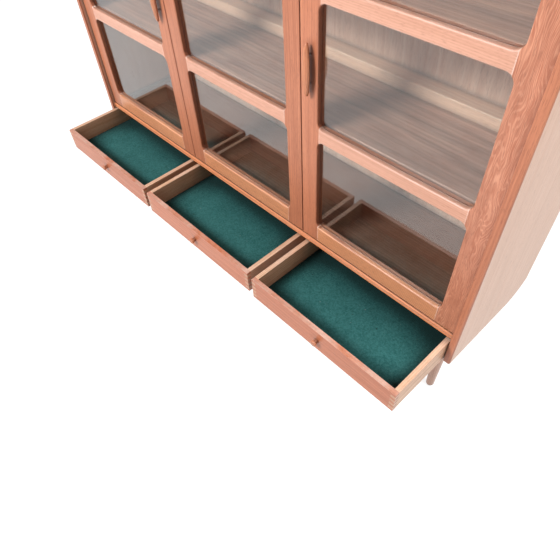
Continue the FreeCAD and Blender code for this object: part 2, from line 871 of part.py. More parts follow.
def comb_board(name, kind):
    """A drawer's front or back: a board whose ends are cut into the fingers of the comb joints.

    Local x is across the drawer from its middle, y from the outer face inwards, z from the lower edge.
    The ends have the fingers that start and finish the comb, so the notches between them are one fewer.
    """
    body = new_body(name)
    half = drawer_width / 2
    blank = outline(body, name + "_blank", "XZ", rectangle((-half, 0), (half, drawer_height)))
    pad(body, blank, d.drawer_wall, backwards=True)
    for end, low, high in (("right", half - d.drawer_wall, half), ("left", -half, d.drawer_wall - half)):
        notch = outline(body, f"{name}_{end}_notch", "XZ", rectangle((low, finger), (high, finger * 2)))
        comb_pattern(body, notch, COMB_PARTS // 2)
    inner = half - d.drawer_wall + d.bottom_groove
    groove = outline(body, name + "_groove", "XZ", rectangle(
        (-inner, d.bottom_height), (inner, d.bottom_height + d.drawer_bottom)), offset=-d.drawer_wall)
    pocket(body, groove, d.bottom_groove, backwards=True)
    if kind == "front":
        bore = circles(body, name + "_bore", "XZ", [(0, drawer_height / 2)], d.knob_tenon_radius)
        pocket(body, bore, d.drawer_wall)
    return body


def drawer_side(name):
    """A drawer's right side: combs at both ends and a groove for the bottom inside.

    Local x is the outer face at 0 and the drawer's inside towards -x, y runs from the front backwards.
    """
    body = new_body(name)
    blank = outline(body, name + "_blank", "YZ", rectangle((0, 0), (drawer_depth, drawer_height)))
    pad(body, blank, d.drawer_wall, backwards=True)
    for end, low, high in (("front", 0, d.drawer_wall),
                           ("back", drawer_depth - d.drawer_wall, drawer_depth)):
        notch = outline(body, f"{name}_{end}_notch", "YZ", rectangle((low, 0), (high, finger)))
        comb_pattern(body, notch, COMB_PARTS // 2 + 1)
    groove = outline(body, name + "_groove", "YZ", rectangle(
        (d.drawer_wall - d.bottom_groove, d.bottom_height),
        (drawer_depth - d.drawer_wall + d.bottom_groove, d.bottom_height + d.drawer_bottom)),
        offset=-d.drawer_wall)
    pocket(body, groove, d.bottom_groove, backwards=True)
    return body


def knob(name):
    """A turned peg knob: tenon through the drawer front, slim neck and round-edged head."""
    body = new_body(name)
    neck = d.knob_length - d.knob_head
    profile = outline(body, name + "_profile", "YZ", [
        (d.drawer_wall, 0),
        (d.drawer_wall, d.knob_tenon_radius),
        (0, d.knob_tenon_radius),
        (0, d.knob_neck_radius),
        (-neck, d.knob_neck_radius),
        (-neck - (d.knob_radius - d.knob_neck_radius), d.knob_radius),
        (d.knob_round - d.knob_length, d.knob_radius),
        Arc((d.knob_round - d.knob_length, d.knob_radius - d.knob_round), clockwise=False, held="x"),
        (-d.knob_length, d.knob_radius - d.knob_round),
        (-d.knob_length, 0),
    ])
    revolve(body, profile, "H_Axis")
    return body


def drawer(name, column, pulled_out):
    """One drawer, at its place in the bay and pulled out as pictured."""
    place = {"x": drawer_pitch * column, "y": rail_face - pulled_out, "z": drawer_bottom_level}
    front = comb_board(f"{name}_front", "front")
    back = comb_board(f"{name}_back", "back")
    # The back is the same board turned round, with its outer face at the rear
    back.Placement.Rotation = FreeCAD.Rotation(Vector(0, 0, 1), 180)
    side = drawer_side(f"{name}_side")
    right = group(f"{name}_right_side", [side])
    bind(right, "Placement.Base.x", drawer_width / 2)
    left = doc.addObject("Part::Mirroring", f"{name}_left_side")
    left.Source = right
    left.Normal = Vector(1, 0, 0)

    groove_x = drawer_width / 2 - d.drawer_wall + d.bottom_groove
    groove_y = d.drawer_wall - d.bottom_groove
    bottom = board(f"{name}_bottom", (-groove_x, groove_y, d.bottom_height),
                   (groove_x, drawer_depth - groove_y, d.bottom_height + d.drawer_bottom))
    felt_x = drawer_width / 2 - d.drawer_wall - d.felt_play
    felt_y = d.drawer_wall + d.felt_play
    felt_z = d.bottom_height + d.drawer_bottom
    felt = board(f"{name}_felt", (-felt_x, felt_y, felt_z),
                 (felt_x, drawer_depth - felt_y, felt_z + d.felt))

    node(front, f"{name}_front", **place)
    node(group(f"{name}_sides", [left, right]), f"{name}_sides", **place)
    node(back, f"{name}_back", x=place["x"], y=place["y"] + drawer_depth, z=place["z"])
    node(bottom, f"{name}_bottom", **place)
    node(felt, f"{name}_felt", **place)
    node(knob(f"{name}_knob"), f"{name}_knob", x=place["x"], y=place["y"], z=place["z"] + drawer_height / 2)


def drawer_bay():
    """Dividers under the case floor, and two stop blocks on the back panel behind each drawer."""
    dividers = []
    for index, side in enumerate((-1, 1)):
        middle = drawer_pitch / 2 * side
        dividers.append(board(
            f"divider_{index}", (middle - d.divider / 2, rail_face + d.board, d.side_bottom),
            (middle + d.divider / 2, back_front, bay_top)))
    node(group("drawer_dividers", dividers), "drawer_dividers")

    stops = []
    half = d.drawer_stop_width / 2
    for column in (-1, 0, 1):
        for side in (-1, 1):
            middle = drawer_pitch * column + (drawer_width / 2 - d.drawer_stop_inset) * side
            stops.append(board(
                f"drawer_stop_{column + 1}_{side + 1}",
                (middle - half, back_front - d.drawer_stop, bay_top - d.drawer_stop_height),
                (middle + half, back_front, bay_top)))
    node(group("drawer_stops", stops), "drawer_stops")


def base_and_legs():
    """A flat frame between the side panels, and four turned legs with glides under its ends."""
    leg_x = {-1: half_width - d.leg_inset, 1: half_width - d.rear_leg_inset}
    outer = half_inside
    inner = outer - d.base_end_width
    end_y = d.leg_spread + d.base_long_width / 2
    rails = []
    for side in (-1, 1):
        near = d.leg_spread * side
        rails.append(board(f"base_long_{side + 1}", (-inner, near - d.base_long_width / 2, base_underside),
                           (inner, near + d.base_long_width / 2, d.side_bottom)))
        low, high = (inner, outer) if side > 0 else (-outer, -inner)
        rail = board(f"base_end_{side + 1}", (low, -end_y, base_underside), (high, end_y, d.side_bottom))
        sockets = circles(rail, f"base_sockets_{side + 1}", "XY",
                          [(leg_x[along] * side, d.leg_spread * along) for along in (-1, 1)],
                          d.leg_dowel_radius, offset=base_underside)
        pocket(rail, sockets, d.leg_dowel_length, backwards=True)
        rails.append(rail)
    node(group("base_frame", rails), "base_frame")

    names = {
        "leg_front_left": (-1, -1),
        "leg_front_right": (1, -1),
        "leg_rear_left": (-1, 1),
        "leg_rear_right": (1, 1),
    }
    glides = []
    for name, (across, along) in names.items():
        leg = new_body(name)
        stem_top = d.glide_height + d.glide_stem_length
        profile = outline(leg, name + "_profile", "XZ", [
            (0, stem_top),
            (d.glide_stem_radius, stem_top),
            (d.glide_stem_radius, d.glide_height),
            (d.leg_foot_radius - d.leg_foot_round, d.glide_height),
            Arc((d.leg_foot_radius - d.leg_foot_round, d.glide_height + d.leg_foot_round), clockwise=False),
            (d.leg_foot_radius, d.glide_height + d.leg_foot_round),
            (d.leg_top_radius, base_underside),
            (d.leg_dowel_radius, base_underside),
            (d.leg_dowel_radius, base_underside + d.leg_dowel_length),
            (0, base_underside + d.leg_dowel_length),
        ])
        revolve(leg, profile, "V_Axis")
        node(leg, name, x=leg_x[along] * across, y=d.leg_spread * along)

        glide = new_body(name + "_glide")
        glide_profile = outline(glide, name + "_glide_profile", "XZ", [
            (0, 0),
            (d.glide_radius - d.glide_round, 0),
            (d.glide_radius, d.glide_round),
            (d.glide_radius, d.glide_height),
            (d.glide_stem_radius, d.glide_height),
            (d.glide_stem_radius, stem_top),
            (0, stem_top),
        ])
        revolve(glide, glide_profile, "V_Axis")
        bind(glide, "Placement.Base.x", leg_x[along] * across)
        bind(glide, "Placement.Base.y", d.leg_spread * along)
        glides.append(glide)
    node(group("leg_glides", glides), "leg_glides")


def write_parts():
    """Checks every object, then writes one file for each node."""
    doc.recompute()
    for item in doc.Objects:
        if "Invalid" in item.State or "Error" in item.State:
            raise RuntimeError(f"{item.Name} did not build: {item.State}")
    for item in nodes:
        if item.Shape.isNull() or not item.Shape.isValid():
            raise RuntimeError(f"{item.Label} has no valid shape")
    os.makedirs("parts", exist_ok=True)
    for item in nodes:
        item.Shape.exportStep(f"parts/{item.Label}.step")
        print(item.Label, len(item.Shape.Solids), "solids", round(item.Shape.Volume / 1000, 1), "cm3")


side_panels()
case_boards()
shelves()
masters = frame_masters()
middle_frame(*masters)
door_stops(*doors(*masters))
drawer_bay()
drawer("drawer_left", -1, d.left_drawer_out)
drawer("drawer_middle", 0, d.middle_drawer_out)
drawer("drawer_right", 1, d.right_drawer_out)
base_and_legs()
write_parts()
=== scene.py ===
"""Display cabinet: finishes, felt linings, floor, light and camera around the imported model."""
from __future__ import annotations

import logging
import math
from dataclasses import dataclass, field
from enum import Enum
from typing import Iterable, Sequence

import bpy
from mathutils import Matrix, Vector

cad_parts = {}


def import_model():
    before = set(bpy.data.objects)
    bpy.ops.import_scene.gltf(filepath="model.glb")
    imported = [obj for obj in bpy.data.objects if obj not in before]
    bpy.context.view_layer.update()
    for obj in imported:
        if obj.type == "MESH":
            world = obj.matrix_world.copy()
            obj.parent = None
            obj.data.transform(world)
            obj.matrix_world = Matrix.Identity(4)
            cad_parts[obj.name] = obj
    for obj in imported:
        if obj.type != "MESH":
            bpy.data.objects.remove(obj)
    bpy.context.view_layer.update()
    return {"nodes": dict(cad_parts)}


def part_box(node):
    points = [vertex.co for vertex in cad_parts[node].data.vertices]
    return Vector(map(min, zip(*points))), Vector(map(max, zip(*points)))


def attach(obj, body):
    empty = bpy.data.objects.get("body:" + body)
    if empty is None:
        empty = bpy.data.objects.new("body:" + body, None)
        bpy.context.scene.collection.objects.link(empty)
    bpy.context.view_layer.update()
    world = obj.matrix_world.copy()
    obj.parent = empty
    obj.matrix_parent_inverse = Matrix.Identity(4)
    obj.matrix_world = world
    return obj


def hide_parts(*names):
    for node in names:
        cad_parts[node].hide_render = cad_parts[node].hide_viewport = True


LOG = logging.getLogger("display_cabinet")
Colour = tuple[float, float, float]
Point = tuple[float, float, float]
Range = tuple[float, float]

# The places of the colour sockets in Blender's Mix node
MIX_SHARE, MIX_FIRST, MIX_SECOND = 0, 6, 7
MIX_RESULT = 2


class Grain(Enum):
    """The way the fibres of a board run, and the turn that brings them onto the local Z axis."""

    ALONG_X = (0.0, -math.pi / 2, 0.0)
    ALONG_Y = (math.pi / 2, 0.0, 0.0)
    ALONG_Z = (0.0, 0.0, 0.0)


class Side(Enum):
    """The three drawers, named as the bodies they ride on."""

    LEFT = "drawer_left"
    MIDDLE = "drawer_middle"
    RIGHT = "drawer_right"


# Node trees


@dataclass
class NodeBench:
    """A node tree with short ways to add and join nodes.

    Attributes:
        tree: the node tree that is worked on.
    """

    tree: bpy.types.NodeTree

    def add(self, kind: str, **settings: object) -> bpy.types.Node:
        """Add a node.

        Args:
            kind: the node's type, without the ShaderNode prefix.
            settings: the node's own properties.

        Returns:
            The new node.
        """
        node = self.tree.nodes.new("ShaderNode" + kind)
        for name, value in settings.items():
            setattr(node, name, value)
        return node

    def feed(self, socket: bpy.types.NodeSocket, value: object) -> None:
        """Join an output to a socket, or set the socket's value.

        Args:
            socket: the input.
            value: another node's output, or a plain value.
        """
        if isinstance(value, bpy.types.NodeSocket):
            self.tree.links.new(value, socket)
        else:
            socket.default_value = value

    def math(self, operation: str, *values: object, clamp: bool = False) -> bpy.types.NodeSocket:
        """Add a math node.

        Args:
            operation: Blender's name of the operation.
            values: outputs or numbers, in order.
            clamp: whether the result stays between 0 and 1.

        Returns:
            The result.
        """
        node = self.add("Math", operation=operation, use_clamp=clamp)
        for socket, value in zip(node.inputs, values):
            self.feed(socket, value)
        return node.outputs[0]

    def vector(self, operation: str, *values: object) -> bpy.types.Node:
        """Add a vector math node.

        Args:
            operation: Blender's name of the operation.
            values: outputs or vectors, in order.

        Returns:
            The node, because some operations put out a number and some a vector.
        """
        node = self.add("VectorMath", operation=operation)
        for socket, value in zip(node.inputs, values):
            self.feed(socket, value)
        return node

    def moved(self, point: object, place: Sequence[float] = (0, 0, 0),
              turn: Sequence[float] = (0, 0, 0), stretch: float = 1.0) -> bpy.types.NodeSocket:
        """Move and turn a pattern's coordinates, and scale them along Z.

        Args:
            point: the coordinates.
            place: what is added.
            turn: the turn about each axis.
            stretch: the factor on Z, under 1 for long streaks.

        Returns:
            The new coordinates.
        """
        node = self.add("Mapping")
        self.feed(node.inputs["Vector"], point)
        node.inputs["Location"].default_value = place
        node.inputs["Rotation"].default_value = turn
        node.inputs["Scale"].default_value = (1.0, 1.0, stretch)
        return node.outputs[0]

    def noise(self, point: object, waves: object, detail: float, rough: float) -> bpy.types.NodeSocket:
        """Add a noise between 0 and 1.

        Args:
            point: the coordinates.
            waves: waves per metre, as a number or an output.
            detail: octaves above the first.
            rough: how much the octaves add.

        Returns:
            The noise's value.
        """
        node = self.add("TexNoise")
        self.feed(node.inputs["Vector"], point)
        self.feed(node.inputs["Scale"], waves)
        node.inputs["Detail"].default_value = detail
        node.inputs["Roughness"].default_value = rough
        return node.outputs["Fac"]

    def span(self, value: object, low: float, high: float, out_low: float = 0.0,
             out_high: float = 1.0) -> bpy.types.NodeSocket:
        """Stretch a range onto another one, held inside it.

        Args:
            value: the number to stretch.
            low: the value that gives out_low.
            high: the value that gives out_high.
            out_low: the result's one end.
            out_high: the result's other end.

        Returns:
            The stretched value.
        """
        node = self.add("MapRange")
        for name, number in (("Value", value), ("From Min", low), ("From Max", high),
                             ("To Min", out_low), ("To Max", out_high)):
            self.feed(node.inputs[name], number)
        return node.outputs[0]

    def mix(self, share: object, first: object, second: object) -> bpy.types.NodeSocket:
        """Mix two colours.

        Args:
            share: how much of the second.
            first: a colour or output.
            second: a colour or output.

        Returns:
            The mixed colour.
        """
        node = self.add("Mix", data_type="RGBA")
        for place, value in ((MIX_SHARE, share), (MIX_FIRST, first), (MIX_SECOND, second)):
            if isinstance(value, tuple):
                value = (*value, 1.0)
            self.feed(node.inputs[place], value)
        return node.outputs[MIX_RESULT]

    def cover(self, first: object, second: object, mask: object, share: float) -> bpy.types.NodeSocket:
        """Lay a second colour over a first one, in part, where a mask says so."""
        return self.mix(self.math("MULTIPLY", mask, share), first, second)

    def group(self, tree: bpy.types.NodeTree, **inputs: object) -> bpy.types.Node:
        """Place a shared effect.

        Args:
            tree: the shared node group.
            inputs: values or outputs by the input's name, with _ for a space.

        Returns:
            The group's node.
        """
        node = self.add("Group")
        node.node_tree = tree
        for name, value in inputs.items():
            self.feed(node.inputs[name.replace("_", " ")], value)
        return node


def new_group(name: str, vectors: Sequence[str], numbers: Sequence[str],
              outputs: Sequence[str]) -> tuple[NodeBench, bpy.types.Node, bpy.types.Node]:
    """Start a shared node group.

    Args:
        name: the group's name.
        vectors: the names of the vector inputs.
        numbers: the names of the number inputs.
        outputs: the names of the outputs, which are numbers.

    Returns:
        The bench, the group's input node and its output node.
    """
    tree = bpy.data.node_groups.new(name, "ShaderNodeTree")
    for label in vectors:
        tree.interface.new_socket(label, in_out="INPUT", socket_type="NodeSocketVector")
    for label in numbers:
        tree.interface.new_socket(label, in_out="INPUT", socket_type="NodeSocketFloat")
    for label in outputs:
        tree.interface.new_socket(label, in_out="OUTPUT", socket_type="NodeSocketFloat")
    bench = NodeBench(tree)
    return bench, tree.nodes.new("NodeGroupInput"), tree.nodes.new("NodeGroupOutput")


@dataclass(frozen=True)
class Pattern:
    """A noise, and the range of its values that makes a mask.

    Attributes:
        waves: waves per metre.
        stretch: the factor on Z, under 1 for long streaks.
        detail: octaves above the first.
        rough: how much the octaves add.
        place: where in the noise it is taken.
        edges: the values that a mask turns into 0 and 1.
    """

    waves: float
    stretch: float = 1.0
    detail: float = 2.0
    rough: float = 0.5
    place: Point = (0.0, 0.0, 0.0)
    edges: Range = (0.3, 0.7)

    def lay(self, bench: NodeBench, point: object, waves: object = None) -> bpy.types.NodeSocket:
        """Add the noise.

        Args:
            bench: the tree's bench.
            point: the coordinates.
            waves: an output that takes the place of the pattern's own waves per metre.

        Returns:
            The noise's value.
        """
        laid = bench.moved(point, self.place, stretch=self.stretch)
        return bench.noise(laid, self.waves if waves is None else waves, self.detail, self.rough)

    def mask(self, bench: NodeBench, point: object, least: float = 0.0) -> bpy.types.NodeSocket:
        """Add the noise as a mask from a least value to 1."""
        return bench.span(self.lay(bench, point), *self.edges, least, 1.0)


# Every noise in the scene but the drift of the rings and the bending of the felt's fibres
STREAKS = Pattern(150.0, 0.4, 4.0, 0.6)
FIBRES = Pattern(950.0, 0.03, 2.0, 0.65)
PORES = Pattern(900.0, 0.09, edges=(0.56, 0.70))
BOARD_CLOUDS = Pattern(10.0, 0.2, 4.0, 0.6, (4.0, 1.0, 2.0), (0.35, 0.7))
EDGE_PATCHES = Pattern(35.0, 1.0, 4.0, 0.6, edges=(0.35, 0.65))
DUST_CLOUDS = Pattern(14.0, 1.0, 5.0, 0.65, edges=(0.35, 0.75))
DUST_SPECKS = Pattern(900.0, 1.0, 1.0, edges=(0.68, 0.76))
GLASS_SMEARS = Pattern(9.0, 0.5, 5.0, 0.6, edges=(0.4, 0.8))
FELT_CLOUDS = Pattern(16.0, 1.0, 4.0, 0.6)
FELT_NAP = Pattern(240.0, 1.0, 3.0, 0.7, edges=(0.36, 0.64))
FELT_LINT = Pattern(170.0, 1.0, 0.0, place=(3.1, 1.7, 0.4), edges=(0.84, 0.88))
FELT_SPECKS = Pattern(120.0, 1.0, 0.0, place=(0.7, 5.2, 1.4), edges=(0.83, 0.86))
BRUSHING = Pattern(2400.0, 0.02, 2.0, 0.6)
TARNISH = Pattern(90.0, 1.0, 5.0, 0.65, edges=(0.35, 0.7))
PLASTIC_SCUFFS = Pattern(260.0, 4.0, 4.0, 0.7, edges=(0.5, 0.75))
PLASTIC_SKIN = Pattern(1800.0)
FLOOR_PAINT = Pattern(3.0, 1.0, 3.0)

# The growth rings: how far they stretch, drift and waver
RING_STRETCH = 0.05
DRIFT_STRETCH = 0.22
DRIFT_DETAIL = 3.0
DRIFT_METRES = 0.1
RING_DISTORTION = 2.2
RING_DETAIL = 2.0
RING_DETAIL_SCALE = 0.6
# How many more waves the clouds get with each wave of the figure, and how far the fibres stand up
CLOUDS_PER_FIGURE = 1.9
FIBRE_HEIGHT = 0.4
# The ranges that become 0 and 1: an edge's turned normal, a face that looks up, and a closed-in place
TURNED_EDGE = (0.995, 0.86)
FACING_UP = (0.6, 0.95)
CLOSED_IN = (0.92, 0.35)
# The least share that an edge shows between its patches of scuffing and painted highlight
LEAST_EDGE_SHARE = 0.25
# Samples of the bevel that finds edges, and of the occlusion that places the painted shade
BEVEL_SAMPLES = 4
PAINTED_SHADE_SAMPLES = 6


class SharedEffects:
    """The node groups that several finishes use, each built once.

    Attributes:
        grain: the grain of a board.
        edge_wear_and_highlight: the mask of the edges, scuffed by use and, on the rails, painted with a
            highlight.
        dust_and_top_highlight: the pale coat on what faces up: dust, and on the drawers a painted highlight.
        painted_shade: the painted shade that darkens gaps and inner corners.
    """

    def __init__(self) -> None:
        """Build the groups."""
        self.grain = self._grain()
        self.edge_wear_and_highlight = self._edge_wear_and_highlight()
        self.dust_and_top_highlight = self._dust_and_top_highlight()
        self.painted_shade = self._painted_shade()

    def _grain(self) -> bpy.types.NodeTree:
        """Build the grain of a board whose fibres run along Z.

        Returns:
            The group: growth rings, streaks, fibres, open pores, their height, and slow clouds of tone.
        """
        bench, start, end = new_group("board_grain", ("Point",), ("Ring Scale", "Figure", "Figure Scale"),
                                      ("Rings", "Streaks", "Fibres", "Pores", "Height", "Clouds"))
        point = start.outputs["Point"]
        drift = bench.add("TexNoise")
        bench.feed(drift.inputs["Vector"], bench.moved(point, stretch=DRIFT_STRETCH))
        bench.feed(drift.inputs["Scale"], start.outputs["Figure Scale"])
        drift.inputs["Detail"].default_value = DRIFT_DETAIL
        centred = bench.vector("SUBTRACT", drift.outputs["Color"], (0.5, 0.5, 0.5)).outputs[0]
        scaled = bench.vector("SCALE", centred)
        bench.feed(scaled.inputs["Scale"], bench.math("MULTIPLY", start.outputs["Figure"], DRIFT_METRES))
        bent = bench.vector("ADD", bench.moved(point, stretch=RING_STRETCH), scaled.outputs[0]).outputs[0]
        wave = bench.add("TexWave", wave_type="RINGS", rings_direction="Z", wave_profile="SIN")
        bench.feed(wave.inputs["Vector"], bent)
        bench.feed(wave.inputs["Scale"], start.outputs["Ring Scale"])
        wave.inputs["Distortion"].default_value = RING_DISTORTION
        wave.inputs["Detail"].default_value = RING_DETAIL
        wave.inputs["Detail Scale"].default_value = RING_DETAIL_SCALE
        fibres = FIBRES.lay(bench, point)
        pores = PORES.mask(bench, point)
        waves = bench.math("MULTIPLY_ADD", start.outputs["Figure Scale"], CLOUDS_PER_FIGURE,
                           BOARD_CLOUDS.waves)
        results = {
            "Rings": wave.outputs["Fac"], "Streaks": STREAKS.lay(bench, bent), "Fibres": fibres,
            "Pores": pores, "Clouds": BOARD_CLOUDS.lay(bench, point, waves),
            "Height": bench.math("SUBTRACT", bench.math("MULTIPLY", fibres, FIBRE_HEIGHT), pores)}
        for name, value in results.items():
            bench.feed(end.inputs[name], value)
        return bench.tree

    def _edge_wear_and_highlight(self) -> bpy.types.NodeTree:
        """Build the edge mask, for scuffed edges and for the rails' painted highlight: where the rounded
        normal leaves the true one, broken up by noise.

        Returns:
            The group, with the mask of the edges.
        """
        bench, start, end = new_group("edge_wear_and_painted_highlight", ("Point",), ("Width",), ("Mask",))
        bevel = bench.add("Bevel", samples=BEVEL_SAMPLES)
        bench.feed(bevel.inputs["Radius"], start.outputs["Width"])
        true = bench.add("NewGeometry").outputs["Normal"]
        flat = bench.vector("DOT_PRODUCT", bevel.outputs[0], true).outputs["Value"]
        edge = bench.span(flat, *TURNED_EDGE)
        patchy = EDGE_PATCHES.mask(bench, start.outputs["Point"], LEAST_EDGE_SHARE)
        bench.feed(end.inputs["Mask"], bench.math("MULTIPLY", edge, patchy))
        return bench.tree

    def _dust_and_top_highlight(self) -> bpy.types.NodeTree:
        """Build the pale coat on what faces up: fine dust, and on the drawers a painted highlight of the
        light from above.

        Returns:
            The group, with the mask of the pale places.
        """
        bench, start, end = new_group("settled_dust_and_top_highlight", ("Point", "Normal"), ("Amount",), ("Mask",))
        split = bench.add("SeparateXYZ")
        bench.feed(split.inputs[0], start.outputs["Normal"])
        up = bench.span(split.outputs["Z"], *FACING_UP)
        clouds = DUST_CLOUDS.mask(bench, start.outputs["Point"])
        specks = DUST_SPECKS.mask(bench, start.outputs["Point"])
        facing_up_mask = bench.math("MULTIPLY", up, bench.math("ADD", clouds, specks, clamp=True))
        bench.feed(end.inputs["Mask"], bench.math("MULTIPLY", facing_up_mask, start.outputs["Amount"]))
        return bench.tree

    def _painted_shade(self) -> bpy.types.NodeTree:
        """Build the painted shade that darkens gaps and inner corners, from ambient occlusion.

        Returns:
            The group, with the mask of the closed-in places.
        """
        bench, start, end = new_group("painted_corner_shade", (), ("Reach",), ("Mask",))
        near = bench.add("AmbientOcclusion", samples=PAINTED_SHADE_SAMPLES)
        bench.feed(near.inputs["Distance"], start.outputs["Reach"])
        bench.feed(end.inputs["Mask"], bench.span(near.outputs["AO"], *CLOSED_IN))
        return bench.tree


# Finishes


def new_material(name: str) -> tuple[bpy.types.Material, NodeBench, bpy.types.Node]:
    """Start a material with one Principled shader.

    Args:
        name: the material's name.

    Returns:
        The material, its bench and the shader node.
    """
    material = bpy.data.materials.new(name)
    material.use_nodes = True
    bench = NodeBench(material.node_tree)
    return material, bench, material.node_tree.nodes["Principled BSDF"]


def shaded(colour: Colour, shade: float) -> Colour:
    """Make a colour lighter or darker by a factor."""
    return tuple(min(1.0, part * shade) for part in colour)


def bump(bench: NodeBench, shader: bpy.types.Node, height: object, depth: float, strength: float) -> None:
    """Give a shader a bump from a height.

    Args:
        bench: the material's bench.
        shader: the shader that gets the normal.
        height: the height's output.
        depth: how deep a height of 1 is, in metres.
        strength: the bump's share.
    """
    node = bench.add("Bump")
    node.inputs["Strength"].default_value = strength
    node.inputs["Distance"].default_value = depth
    bench.feed(node.inputs["Height"], height)
    bench.feed(shader.inputs["Normal"], node.outputs[0])


# How far the fibres shift a board's tone, and how dark its clouds and how strong its pores are
FIBRE_TONE = 0.14
CLOUD_SHADE = 0.75
PORE_SHARE = 0.45
# The gap over which a lipping's wood gives way to the board's, in metres
LIP_JOINT = 0.0003
# How square to the fibres a face is where end grain begins and where it is full
END_GRAIN = (0.72, 0.92)
# The painted shade in gaps and corners is the pore colour darkened by this factor
PAINTED_SHADE_TONE = 0.6
# The pale colour on faces that look up: dust, and at the drawers' large shares a painted highlight
DUST_AND_TOP_HIGHLIGHT_COLOUR = (0.82, 0.70, 0.62)
# What streaks, rubbing and dust add to the roughness of wood
STREAK_ROUGH = (-0.05, 0.07)
RUBBED_ROUGH = -0.08
DUST_ROUGH = 0.4
OIL_ROUGH = 0.28
OIL_IOR = 1.48
GRAIN_DEPTH = 0.00012


